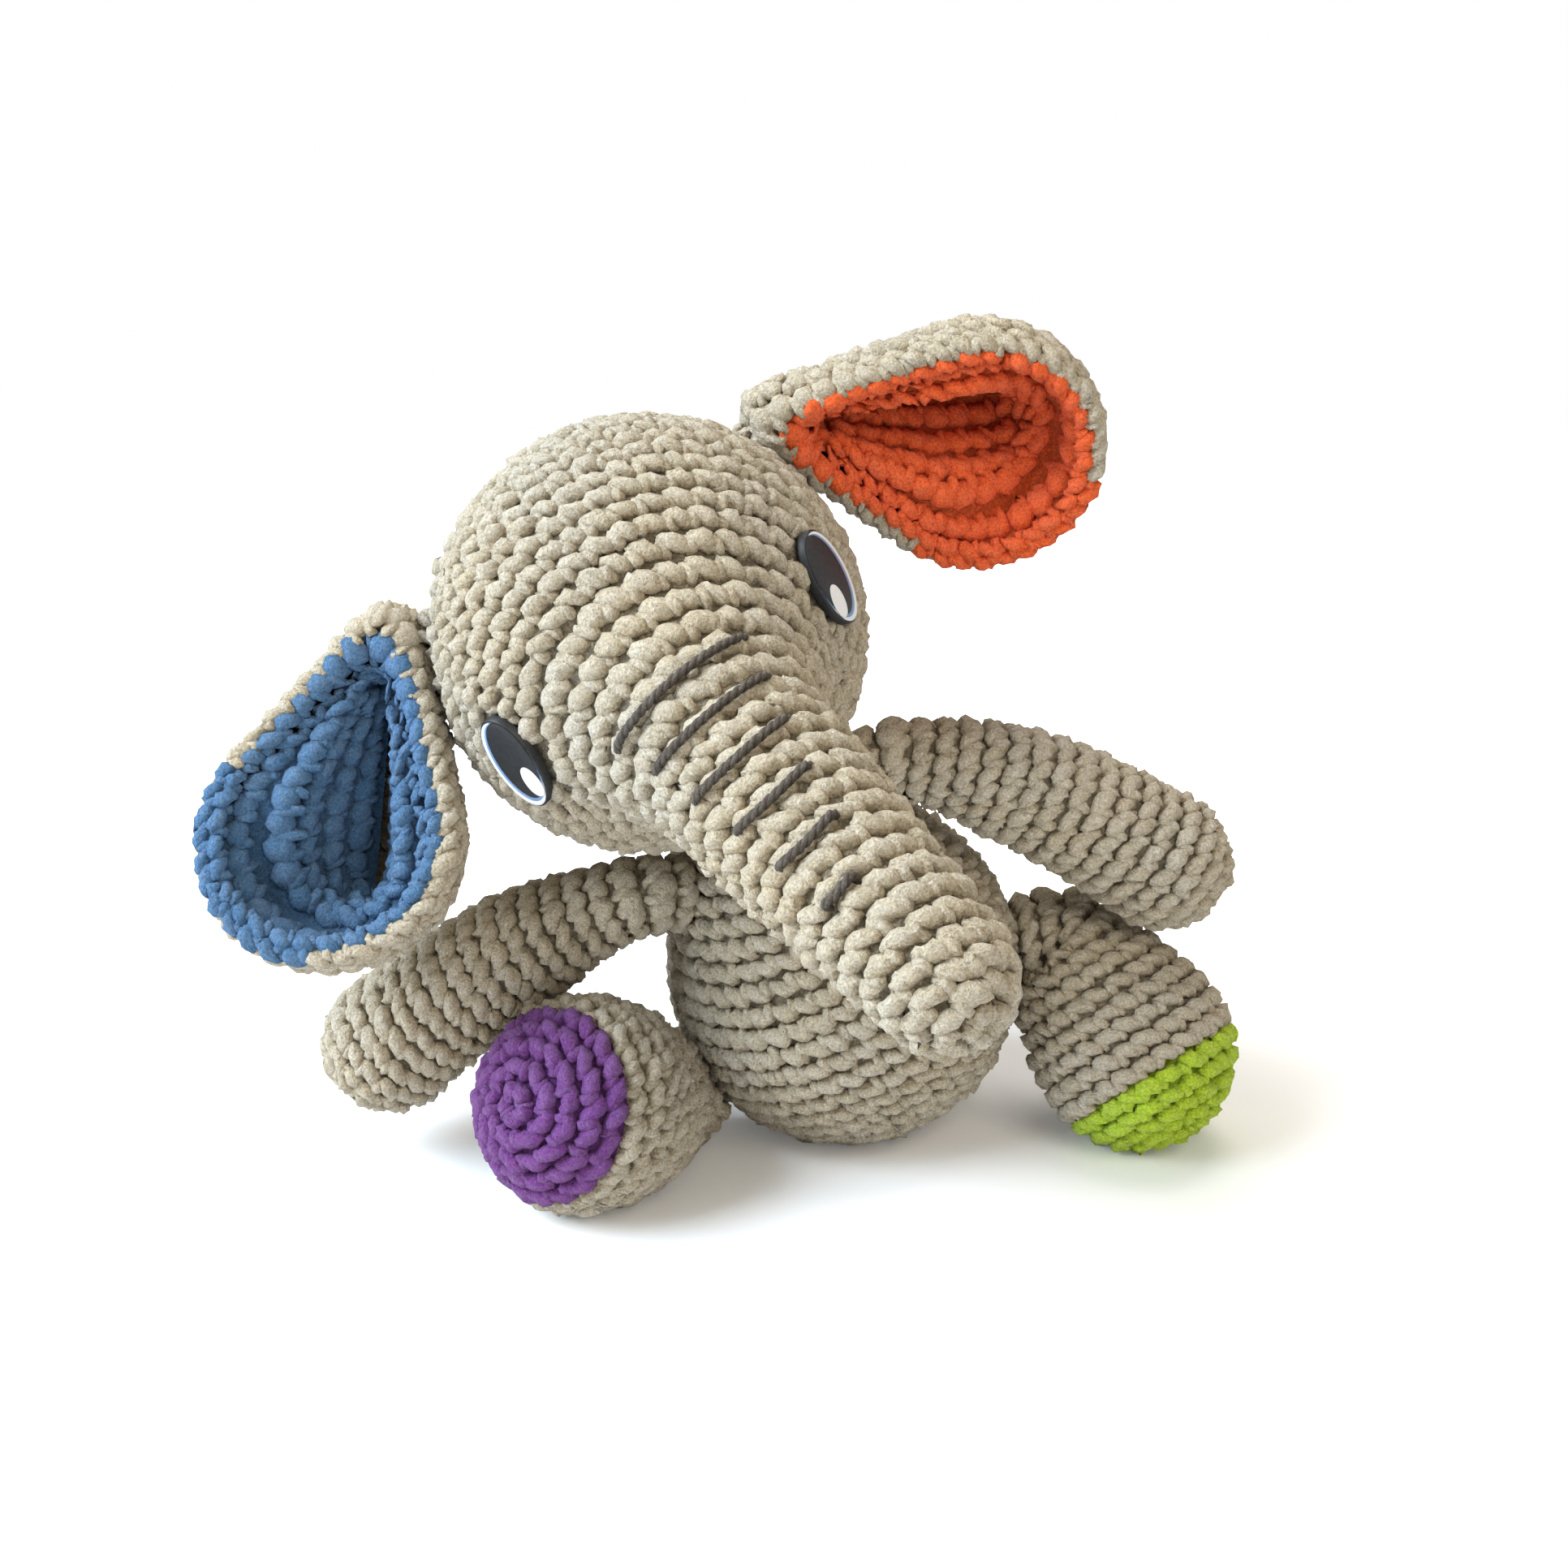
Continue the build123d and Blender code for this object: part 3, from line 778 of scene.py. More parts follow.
@dataclass
class Body:
    """The egg-shaped body with its neck."""

    stance: Stance
    wide: float = 0.063
    narrow: float = 0.048
    rise: float = SHOULDER_RISE
    neck: float = 0.0255
    neck_sink: float = 0.0036
    neck_half: float = 0.012
    gauge: Gauge = field(default_factory=Gauge)

    def build(self) -> list[bpy.types.Object]:
        """Work the body and the neck.

        Returns:
            The new pieces.
        """
        spine = self.stance.spine
        heights, radii = hull_profile(self.wide, self.narrow, self.rise)
        keep = ~((radii < self.neck * 0.98) & (heights > 0))
        heights = heights[keep]
        radii = radii[keep]
        centres = self.stance.body_centre + heights[:, None] * spine
        grid = ring_grid(centres, np.tile(spine, (len(radii), 1)), radii, self.stance.left, 120)
        fabric = Fabric(grid, self.gauge, Facing.OUT, 11)
        body = crocheted(fabric, "body_fabric", GREIGE, 12, fabric.stitches(), self.gauge.sink, floor=LOWEST)
        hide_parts("body_cover", "body_stuffing")
        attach(body, "torso")
        pivot = self.stance.pivot("neck_turn")
        lift = np.linspace(-self.neck_half, self.neck_half, 12)
        around = np.sqrt(self.neck ** 2 - lift ** 2) - 0.0005
        axes = np.tile(spine, (len(lift), 1))
        ring = ring_grid(pivot + lift[:, None] * spine, axes, around, self.stance.left, 72)
        collar = Fabric(ring, self.gauge, Facing.OUT, 13)
        neck = crocheted(collar, "neck_fabric", GREIGE, 14, collar.stitches(), self.neck_sink)
        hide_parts("neck_cover", "neck_stuffing")
        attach(neck, "neck")
        return [body, neck]


@dataclass
class Head:
    """The round head, which runs on into the trunk."""

    stance: Stance
    radius: float = 0.070
    trunk_share: float = 0.74
    gauge: Gauge = field(default_factory=Gauge)

    def trunk_way(self) -> np.ndarray:
        """From the middle of the head to the root of the trunk."""
        return unit(self.stance.pivot("trunk_swing") - self.stance.head_centre)

    def build(self, eyes: list[Eye]) -> list[bpy.types.Object]:
        """Work the head, leaving out the stitches under the eyes.

        Args:
            eyes: The eyes that sit on the head.

        Returns:
            The new pieces.
        """
        way = self.trunk_way()
        centre = self.stance.head_centre
        angle = np.linspace(self.trunk_share, math.pi - 0.005, 110)
        grid = ring_grid(centre + self.radius * np.cos(angle)[:, None] * way, np.tile(way, (110, 1)),
                         self.radius * np.sin(angle), self.stance.left, 140)
        fabric = Fabric(grid, self.gauge, Facing.IN, 21)
        stitches = fabric.stitches()
        clear = np.ones(len(stitches.place), bool)
        for eye in eyes:
            clear &= ~eye.covers(stitches.place)
        head = crocheted(fabric, "head_fabric", GREIGE, 22, stitches.kept(clear), self.gauge.sink)
        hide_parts("head_cover", "head_stuffing")
        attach(head, "head")
        return [head]


@dataclass
class Eye:
    """A domed oval plastic eye with its printed crescents."""

    stance: Stance
    side: Side
    half_width: float = 0.0099
    half_height: float = 0.0158
    seat: float = 0.0702
    edge: float = 0.0003
    dome: float = 0.0013
    skirt: float = 0.0026
    print_edge: float = 0.00005
    layers: tuple[tuple, ...] = (
        ("disc", EYE_BLACK, (0.0, 0.0), (1.0, 1.0), 0.0),
        ("white", EYE_WHITE, (0.02, -0.01), (0.95, 0.96), 0.00010),
        ("iris", EYE_BLUE, (-0.10, 0.04), (0.85, 0.90), 0.00018),
        ("pupil", EYE_BLACK, (-0.17, 0.08), (0.78, 0.86), 0.00026),
        ("glint", EYE_WHITE, (-0.46, -0.40), (0.32, 0.35), 0.00036))

    def axes(self) -> tuple[np.ndarray, np.ndarray, np.ndarray]:
        """The eye's width, height and outward directions."""
        out = self.stance.toward(0.775 * self.side.sign, -0.63, 0.025)
        across = unit(np.cross(self.stance.spine, out))
        return across, np.cross(out, across), out

    def covers(self, places: np.ndarray) -> np.ndarray:
        """Which places lie under the disc."""
        across, tall, out = self.axes()
        away = places - (self.stance.head_centre + out * self.seat)
        x = away @ across / self.half_width
        y = away @ tall / self.half_height
        return (x * x + y * y < 0.80) & (away @ out > -0.02)

    def disc(self, name: str, finish: MouldedPlastic, middle: tuple[float, float],
             size: tuple[float, float], lift: float, skirt: float) -> bpy.types.Object:
        """Make one domed oval layer of the eye.

        Args:
            name: The object's name.
            finish: Its plastic.
            middle: The oval's middle on the eye's face, as shares of the half sizes.
            size: The oval's half sizes, as shares of the eye's half sizes.
            lift: How far it stands above the dome.
            skirt: How far its edge drops.

        Returns:
            The new object.
        """
        across, tall, out = self.axes()
        base = self.stance.head_centre + out * (self.seat + self.edge)
        around = 48
        turn = np.linspace(0, 2 * np.pi, around, endpoint=False)
        share = np.concatenate([np.linspace(0.04, 0.98, 12), [1.0, 1.0]])
        drop = np.concatenate([np.zeros(12), [0.0002, skirt]])
        x = middle[0] + np.outer(share, np.cos(turn)) * size[0]
        y = middle[1] + np.outer(share, np.sin(turn)) * size[1]
        height = self.dome * np.sqrt(np.clip(1 - (x * x + y * y) * 0.96, 0, 1)) + lift - drop[:, None]
        points = (base + x[..., None] * self.half_width * across + y[..., None] * self.half_height * tall
                  + height[..., None] * out)
        quads = tube_quads(len(share), around)[..., [0, 3, 2, 1]].reshape(-1, 4)
        flat = points.reshape(-1, 3)
        top = base + middle[0] * self.half_width * across + middle[1] * self.half_height * tall
        away = (middle[0] ** 2 + middle[1] ** 2) * 0.96
        top = top + out * (self.dome * math.sqrt(max(0.0, 1 - away)) + lift)
        flat = np.vstack([flat, top])
        first = np.arange(around)
        cap = np.stack([first, np.roll(first, -1), np.full(around, len(flat) - 1)], axis=1)
        cloth = Cloth()
        cloth.add(flat, quads, cap, np.ones(len(flat)), np.full(len(flat), 0.5))
        return cloth.build(name, finish.material())

    def build(self) -> list[bpy.types.Object]:
        """Make the eye and its printed layers.

        Returns:
            The new pieces.
        """
        name = self.side.value
        outer = self.side.sign
        pieces = []
        for label, finish, middle, size, lift in self.layers:
            base = label == "disc"
            skirt = self.skirt if base else self.print_edge
            place = (middle[0] * outer, middle[1])
            piece = self.disc(f"{name}_eye_{label}", finish, place, size, lift, skirt)
            if base:
                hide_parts(f"{name}_eye")
            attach(piece, "head")
            pieces.append(piece)
        return pieces


@dataclass
class Trunk:
    """The trunk: an upper length that grows out of the head, a tip, and the stitched wrinkles."""

    stance: Stance
    head_radius: float = 0.070
    root: float = 0.031
    middle: float = 0.0246
    tip: float = 0.0190
    tip_length: float = 0.050
    join: float = 0.74
    settle: float = 0.020
    spans: tuple[float, ...] = (110.0, 94.0, 80.0, 64.0, 52.0, 28.0)
    turns: tuple[float, ...] = (10.0, 10.0, 12.0, 14.0, 17.0, 24.0)
    first_wrinkle: float = 0.004
    wrinkle_pitch: float = 0.016
    yarn: float = 0.00125
    gauge: Gauge = field(default_factory=lambda: Gauge(0.0090, 0.0078))

    def line(self) -> tuple[np.ndarray, np.ndarray, float]:
        """The trunk's root, its direction and its upper length."""
        root = self.stance.pivot("trunk_swing")
        run = self.stance.pivot("trunk_curl") - root
        return root, unit(run), float(np.linalg.norm(run))

    def radius(self, distance: np.ndarray, upper: float) -> np.ndarray:
        """The trunk's radius at distances from its root."""
        stops = [0.0, upper, upper + 0.012, upper + self.tip_length]
        sizes = [self.root, self.middle, self.middle - 0.0012, self.tip]
        return np.interp(distance, stops, sizes)

    def grid(self, around: int = 110) -> np.ndarray:
        """The whole trunk, from a ring on the head to the end of the tip.

        Args:
            around: Points on each ring.

        Returns:
            The grid of points.
        """
        root, axis, upper = self.line()
        centre = self.stance.head_centre
        way = unit(root - centre)
        turn = np.linspace(0, 2 * np.pi, around, endpoint=False)
        first, second = frame_about(way, self.stance.left)
        rim = np.outer(np.cos(turn), first) + np.outer(np.sin(turn), second)
        start = centre + self.head_radius * (math.cos(self.join) * way + math.sin(self.join) * rim)
        start_way = math.sin(self.join) * way - math.cos(self.join) * rim
        first, second = frame_about(axis, self.stance.left)
        ring = np.outer(np.cos(turn), first) + np.outer(np.sin(turn), second)
        size = float(self.radius(np.array([self.settle]), upper)[0])
        end = root + axis * self.settle + ring * size
        reach = np.linalg.norm(end - start, axis=1)[:, None]
        rows = []
        for share in np.linspace(0, 1, 24, endpoint=False):
            a = 2 * share ** 3 - 3 * share ** 2 + 1
            b = share ** 3 - 2 * share ** 2 + share
            c = -2 * share ** 3 + 3 * share ** 2
            d = share ** 3 - share ** 2
            rows.append(a * start + b * start_way * reach * 0.75 + c * end + d * axis * reach * 0.75)
        length = upper + self.tip_length
        for distance in np.linspace(self.settle, length, 60, endpoint=False):
            size = float(self.radius(np.array([distance]), upper)[0])
            rows.append(root + axis * distance + ring * size)
        for angle in np.linspace(0, math.pi / 2 - 0.01, 22):
            middle = root + axis * (length + self.tip * math.sin(angle))
            rows.append(middle + ring * self.tip * math.cos(angle))
        return np.array(rows)

    def build(self) -> list[bpy.types.Object]:
        """Work the trunk and lay its wrinkles.

        Returns:
            The new pieces.
        """
        root, axis, upper = self.line()
        fabric = Fabric(self.grid(), self.gauge, Facing.OUT, 31)
        stitches = fabric.stitches()
        past = (stitches.place - root) @ axis
        split = float(np.mean(past[stitches.row == stitches.row[np.argmin(np.abs(past - upper + 0.004))]]))
        near = past < split
        share = ((fabric.grid.mean(axis=1) - root) @ axis < split).mean()
        pieces = []
        for name, mask, ends in (("trunk", near, (0.0, share)), ("trunk_tip", ~near, (share, 1.0))):
            piece = crocheted(fabric, f"{name}_fabric", GREIGE, 32, stitches.kept(mask), self.gauge.sink, ends)
            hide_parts(f"{name}_cover", f"{name}_stuffing")
            pieces.append(piece)
        self.bend(pieces[0], "trunk")
        self.bend(pieces[1], "trunk_tip")
        return pieces + self.wrinkles()

    def bend(self, piece: bpy.types.Object, body: str) -> None:
        """Bake a trunk piece's placing into its mesh, the same way for either body."""
        root, axis, upper = self.line()
        if body == "trunk":
            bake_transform(piece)
        else:
            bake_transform(piece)

    def wrinkles(self) -> list[bpy.types.Object]:
        """Lay the plied yarn of each wrinkle across the top of the trunk.

        Returns:
            One piece for each wrinkle.
        """
        root, axis, upper = self.line()
        top = unit(self.stance.spine - axis * float(self.stance.spine @ axis))
        side = np.cross(axis, top)
        pieces = []
        for number, span in enumerate(self.spans):
            distance = self.first_wrinkle + self.wrinkle_pitch * number
            half = math.radians(span / 2)
            share = np.linspace(-1, 1, 90)
            angle = math.radians(self.turns[number]) + share * half
            reach = distance + 0.0015 - 0.006 * (span / 114.0) * share ** 2
            size = self.radius(reach, upper) + 0.0013 - 0.0038 * np.abs(share) ** 10
            out = np.cos(angle)[:, None] * top + np.sin(angle)[:, None] * side
            line = root + reach[:, None] * axis + size[:, None] * out
            cloth = Cloth()
            PliedYarn(self.yarn).lay(cloth, line, out)
            piece = cloth.build(f"wrinkle_yarn_{number + 1}", DARK_YARN.material())
            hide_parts(f"trunk_wrinkle_{number + 1}")
            self.bend(piece, "trunk" if number < 4 else "trunk_tip")
            pieces.append(piece)
        return pieces


@dataclass(frozen=True)
class PliedYarn:
    """A yarn of three twisted plies."""

    radius: float
    plies: int = 3
    twist: float = 0.0085
    around: int = 8

    def lay(self, cloth: Cloth, line: np.ndarray, out: np.ndarray) -> None:
        """Add the yarn along a line.

        Args:
            cloth: The mesh to add to.
            line: Points along the yarn's middle.
            out: The direction away from the ground at each point.
        """
        travelled = travelled_along(line)
        along = unit(np.gradient(line, axis=0))
        across = unit(np.cross(along, out))
        rise = np.cross(across, along)
        turn = np.linspace(0, 2 * np.pi, self.around, endpoint=False)
        for ply in range(self.plies):
            phase = 2 * np.pi * (ply / self.plies + travelled / self.twist)
            round_way = across * np.cos(phase)[:, None] + rise * np.sin(phase)[:, None]
            middle = line + round_way * self.radius * 0.52
            way = unit(np.gradient(middle, axis=0))
            first = unit(np.cross(way, rise))
            second = np.cross(first, way)
            thick = np.full(len(line), self.radius * 0.58)
            ring = (np.cos(turn)[None, :, None] * first[:, None, :]
                    + np.sin(turn)[None, :, None] * second[:, None, :])
            points = middle[:, None, :] + thick[:, None, None] * ring
            rows = len(line)
            quads = tube_quads(rows, self.around).reshape(-1, 4)
            # painted light and shade: each ply is painted lighter where its twist brings it up and darker
            # where it turns under
            crest = np.clip(0.5 + 0.5 * np.sin(phase), 0, 1)
            cloth.add(points.reshape(-1, 3), quads, None, np.repeat(crest, self.around),
                      np.full(rows * self.around, ply / self.plies))


@dataclass
class Limb:
    """A stuffed tube that starts narrow where it is sewn on and ends round."""

    name: str
    joint: str
    parent: str
    points: list[np.ndarray]
    stops: tuple[float, ...]
    sizes: tuple[float, ...]
    end: float
    seed: int
    sole: PlushYarn | None = None
    sole_angle: float = 55.0
    gauge: Gauge = field(default_factory=Gauge)

    def grid(self, hint: np.ndarray, around: int = 96) -> np.ndarray:
        """The limb from its rounded end back to where it is sewn on.

        Args:
            hint: The direction each ring starts near.
            around: Points on each ring.

        Returns:
            The grid of points.
        """
        line = bent_line(self.points)
        travelled = travelled_along(line)
        share = travelled / travelled[-1]
        radii = np.interp(share, self.stops, self.sizes)
        axes = unit(np.gradient(line, axis=0))
        last = axes[-1]
        angle = np.linspace(math.pi / 2 - 0.01, 0, 40)
        cap_centres = line[-1] + self.end * np.sin(angle)[:, None] * last
        centres = np.vstack([cap_centres, line[::-1][1:]])
        rings = np.concatenate([self.end * np.cos(angle), radii[::-1][1:]])
        directions = np.vstack([np.tile(last, (len(angle), 1)), axes[::-1][1:]])
        return ring_grid(centres, directions, rings, hint, around)

    def build(self, stance: Stance) -> list[bpy.types.Object]:
        """Work the limb.

        Args:
            stance: Where the toy's bending points are.

        Returns:
            The new pieces.
        """
        hint = stance.spine if self.sole is None else stance.left
        fabric = Fabric(self.grid(hint), self.gauge, Facing.IN, self.seed)
        stitches = fabric.stitches()
        way = unit(self.points[-1] - self.points[-2])
        parts = [("fabric", GREIGE, np.ones(len(stitches.place), bool), (0.0, 1.0))]
        if self.sole is not None:
            angle = np.degrees(np.arccos(np.clip(unit(stitches.place - self.points[-1]) @ way, -1, 1)))
            coloured = angle < self.sole_angle
            edge = stitches.row[coloured].max() + 0.5
            share = 40.0 / (len(fabric.grid) - 1) * self.sole_angle / 90.0
            coloured = stitches.row < edge
            parts = [("sole_fabric", self.sole, coloured, (0.0, share)),
                     ("fabric", GREIGE, ~coloured, (share, 1.0))]
        pieces = []
        for label, finish, mask, ends in parts:
            piece = crocheted(fabric, f"{self.name}_{label}", finish, self.seed + 1, stitches.kept(mask),
                              self.gauge.sink, ends, LOWEST)
            if label == "fabric":
                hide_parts(f"{self.name}_cover", f"{self.name}_stuffing")
                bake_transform(piece)
            else:
                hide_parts(f"{self.name.split('_')[0]}_sole")
                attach(piece, self.name)
            pieces.append(piece)
        return pieces


@dataclass
class Ear:
    """A cupped ear: a greige back, a coloured lining and a whipped rim."""

    stance: Stance
    side: Side
    run: np.ndarray
    face: np.ndarray
    lining: PlushYarn
    seed: int
    root: float = 0.0115
    radius: float = 0.041
    length: float = 0.067
    cut: float = 0.008
    deep: float = 0.0090
    fold: float = 0.85
    fold_start: tuple[float, float] = (-0.052, 0.003)
    fold_end: tuple[float, float] = (0.006, 0.009)
    fold_reach: float = 0.045
    gauge: Gauge = field(default_factory=lambda: Gauge(0.0082, 0.0074))

    def directions(self) -> tuple[np.ndarray, np.ndarray, np.ndarray]:
        """The ear's length, its mouth's direction and its width."""
        along = unit(self.run)
        mouth = unit(self.face - along * float(self.face @ along))
        return along, mouth, np.cross(mouth, along)

    def shell(self, inset: float, rows: int = 44, around: int = 120) -> np.ndarray:
        """A cup-shaped grid from the deepest point out to the rim.

        Args:
            inset: How far inside the ear's outline it lies.
            rows: Grid rows.
            around: Points on each row.

        Returns:
            The grid of points.
        """
        along, mouth, width = self.directions()
        pivot = self.stance.pivot(f"{self.side.value}_ear_flap")
        centre = pivot + along * self.length
        origin = centre - along * 0.010 + mouth * self.cut
        angle = np.linspace(0.004, math.pi / 2, rows)[:, None, None]
        turn = np.linspace(0, 2 * np.pi, around, endpoint=False)
        rim = np.cos(turn)[:, None] * along + np.sin(turn)[:, None] * width
        ways = -mouth * np.cos(angle) + rim[None] * np.sin(angle)
        low = np.zeros((rows, around))
        high = np.full((rows, around), 0.13)
        share = np.linspace(0, 1, 48)
        balls = pivot + share[:, None] * (centre - pivot)
        sizes = self.root + share * (self.radius - self.root)
        for _ in range(26):
            reach = (low + high) / 2
            places = origin + ways * reach[..., None]
            gap = np.min(np.linalg.norm(places[:, :, None, :] - balls, axis=-1) - sizes, axis=-1) + inset
            low = np.where(gap < 0, reach, low)
            high = np.where(gap < 0, high, reach)
        return origin + ways * low[..., None]

    def lining_grid(self, rows: int = 44, around: int = 120) -> np.ndarray:
        """The lining's grid: plump walls that fall into a fold running out from the root.

        Args:
            rows: Grid rows.
            around: Points on each row.

        Returns:
            The grid of points, from the bottom of the fold out to the rim.
        """
        along, mouth, width = self.directions()
        centre = self.stance.pivot(f"{self.side.value}_ear_flap") + along * self.length
        local = self.shell(self.deep, 2, around)[-1] - centre
        plan = np.stack([local @ along, local @ width], axis=1)
        start, end = np.array(self.fold_start), np.array(self.fold_end)
        run = end - start
        share = np.clip((plan - start) @ run / (run @ run), 0, 1)[:, None]
        bottom = start + share * run
        reach = np.linspace(0.02, 1, rows)[:, None]
        spread = bottom + (plan - bottom) * reach[..., None]
        hull = self.root + (self.radius - self.root) * np.clip(1 + bottom[:, 0] / self.length, 0, 1)
        near_root = smooth((self.fold_reach - spread[..., 0]) / 0.06)
        plump = 1 - smooth(reach / 0.62)
        bowl = (1 - reach ** 2) ** 0.6
        depth = self.fold * (hull + self.cut - self.deep) * (near_root * plump + (1 - near_root) * bowl)
        lift = local @ mouth - depth
        return centre + spread[..., :1] * along + spread[..., 1:] * width + lift[..., None] * mouth

    def build(self) -> list[bpy.types.Object]:
        """Work the ear.

        Returns:
            The new pieces.
        """
        name = self.side.value
        pivot = self.stance.pivot(f"{name}_ear_flap")
        outer = Fabric(self.shell(0.0), self.gauge, Facing.OUT, self.seed)
        cloth = Cloth()
        outer.backing(cloth, EAR_BACKING_DEPTH)
        Hook(self.seed + 1).work(cloth, outer.stitches(), self.gauge.sink)
        lining = Cloth()
        self.rim(cloth, lining)
        back = cloth.build(f"{name}_ear_back", GREIGE.material())
        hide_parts(f"{name}_ear_outer")
        inner = Fabric(self.lining_grid(), self.gauge, Facing.IN, self.seed + 2)
        inner.backing(lining, EAR_BACKING_DEPTH)
        Hook(self.seed + 3).work(lining, inner.stitches(), self.gauge.sink)
        front = lining.build(f"{name}_ear_inside", self.lining.material())
        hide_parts(f"{name}_ear_lining")
        for piece in (back, front):
            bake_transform(piece)
        return [back, front]

    def greige_share(self, places: np.ndarray) -> np.ndarray:
        """How greige the edge is at some places: wholly on the broad side, less near the root."""
        along, mouth, width = self.directions()
        local = places - self.stance.pivot(f"{self.side.value}_ear_flap") - along * self.length
        lie = unit(local - (local @ mouth)[:, None] * mouth) @ width
        return np.maximum(smooth((lie + 0.15) / 0.5), 0.7 * smooth((-0.008 - local @ along) / 0.02))

    def rim(self, cloth: Cloth, lining: Cloth) -> None:
        """Work the edge that joins the back to the lining.

        Args:
            cloth: The back's mesh.
            lining: The lining's mesh.
        """
        outer = self.shell(0.0)[-1]
        inner = self.lining_grid()[-1]
        mouth = self.directions()[1]
        middle = (outer + inner) / 2
        half = (outer - inner) / 2
        height = np.linalg.norm(half, axis=1)[:, None]
        angle = np.linspace(-0.1, math.pi + 0.1, 16)
        grid = np.array([middle + half * math.cos(turn) + mouth * height * math.sin(turn) * 0.75
                         for turn in angle])
        edge = Fabric(grid, Gauge(0.0074, 0.0064), Facing.OUT, self.seed + 5)
        greige = self.greige_share(middle) > 0.5
        edge.backing(cloth, EAR_BACKING_DEPTH, 0.0, 0.5, greige)
        edge.backing(lining, EAR_BACKING_DEPTH, 0.0, 0.5, ~greige)
        edge.backing(lining, EAR_BACKING_DEPTH, 0.5, 1.0)
        stitches = edge.stitches()
        outermost = stitches.row == stitches.row.min()
        share = self.greige_share(stitches.place)
        chosen = outermost & (share > 0.3)
        hook = Hook(self.seed + 6)
        hook.work(cloth, stitches.kept(chosen), self.gauge.sink)
        hook.work(lining, stitches.kept(~chosen), self.gauge.sink)


@dataclass
class Seam:
    """The sewing loops round the end of a limb or the neck."""

    name: str
    body: str
    centre: np.ndarray
    axis: np.ndarray
    radius: float
    thickness: float
    seed: int

    def build(self) -> list[bpy.types.Object]:
        """Sew the ring.

        Returns:
            The new piece.
        """
        count = max(8, round(2 * math.pi * self.radius / 0.0052))
        turn = np.linspace(0, 2 * np.pi, count, endpoint=False)
        first, second = frame_about(self.axis, np.array([0.3, 0.5, 0.8]))
        rim = np.cos(turn)[:, None] * first + np.sin(turn)[:, None] * second
        along = -np.sin(turn)[:, None] * first + np.cos(turn)[:, None] * second
        stitches = Stitches(self.centre + rim * self.radius, along, np.tile(self.axis, (count, 1)), rim,
                            np.full(count, 0.005), np.full(count, 0.005), np.zeros(count))
        cloth = Cloth()
        size = np.tile([0.0034, self.thickness, self.thickness], (count, 1))
        Hook(self.seed).loops(cloth, Lobe(8, 6), stitches, stitches.place, 50.0, size)
        piece = cloth.build(f"{self.name}_loops", GREIGE.material())
        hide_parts(self.name)
        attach(piece, self.body)
        return [piece]


# ---- Studio --------------------------------------------------------------------------------------


@dataclass
class Studio:
    """The floor, the lights and the camera."""

    paper: Colour = (0.93, 0.93, 0.93)
    glow_reach: tuple[float, float] = (0.14, 0.34)
    near_glow: float = 0.10
    sky_light: float = 0.22
    aim: tuple[float, float, float] = (-0.02, -0.05, 0.12)

    def build(self) -> None:
        """Set the floor, the lamps, the sky and the camera."""
        mesh = bpy.data.meshes.new("floor")
        mesh.from_pydata([(-6, -6, 0), (6, -6, 0), (6, 6, 0), (-6, 6, 0)], [], [(0, 1, 2, 3)])
        floor = bpy.data.objects.new("floor", mesh)
        material, pen, shader = blank_material("studio_paper")
        shader.inputs["Base Color"].default_value = (*self.paper, 1.0)
        shader.inputs["Roughness"].default_value = 0.9
        shader.inputs["Emission Color"].default_value = (1.0, 1.0, 1.0, 1.0)
        place = pen.node("ShaderNodeTexCoord")
        reach = pen.node("ShaderNodeVectorMath", operation="LENGTH")
        pen.link(place.outputs["Object"], reach.inputs[0])
        far = pen.rescale(reach.outputs["Value"], self.glow_reach, curve="SMOOTHSTEP")
        seen = pen.node("ShaderNodeLightPath").outputs["Is Camera Ray"]
        glow = pen.plus(self.near_glow, far, 0.9)
        pen.link(pen.math("MULTIPLY", glow, seen), shader.inputs["Emission Strength"])
        mesh.materials.append(material)
        bpy.context.scene.collection.objects.link(floor)
        self.lamp("window", (-1.25, -0.45, 1.05), 1.1, 52.0, (0.76, 0.88, 1.0))
        self.lamp("front", (0.5, -1.2, 1.1), 0.8, 9.5, (1.0, 0.90, 0.74))
        self.lamp("top", (0.2, 0.3, 1.7), 0.9, 12.0, (1.0, 0.94, 0.84))
        world = bpy.data.worlds.new("studio_sky")
        world.use_nodes = True
        pen = NodePen(world.node_tree)
        sky = world.node_tree.nodes["Background"]
        sky.inputs["Color"].default_value = (1.0, 1.0, 1.0, 1.0)
        path = pen.node("ShaderNodeLightPath").outputs
        seen = pen.math("MAXIMUM", path["Is Camera Ray"], path["Is Glossy Ray"])
        seen = pen.math("MAXIMUM", seen, path["Is Transmission Ray"])
        level = pen.plus(self.sky_light, seen, 1.0 - self.sky_light)
        pen.link(level, sky.inputs["Strength"])
        bpy.context.scene.world = world
        camera_data = bpy.data.cameras.new("camera")
        camera_data.lens = 36.3
        camera_data.sensor_width = 36.0
        camera = bpy.data.objects.new("camera", camera_data)
        camera.location = (-0.0217, -0.5364, 0.2699)
        camera.rotation_euler = (math.radians(75.0), 0.0, 0.0)
        bpy.context.scene.collection.objects.link(camera)
        bpy.context.scene.camera = camera
        bpy.context.scene.view_settings.view_transform = "Standard"

    def lamp(self, name: str, place: tuple[float, float, float], size: float, power: float,
             colour: Colour) -> None:
        """Hang a soft lamp that looks at the toy."""
        data = bpy.data.lights.new(name, "AREA")
        data.color = colour
        data.size = size
        data.energy = power
        lamp = bpy.data.objects.new(name, data)
        lamp.location = place
        lamp.rotation_euler = (Vector(self.aim) - Vector(place)).to_track_quat("-Z", "Y").to_euler()
        bpy.context.scene.collection.objects.link(lamp)


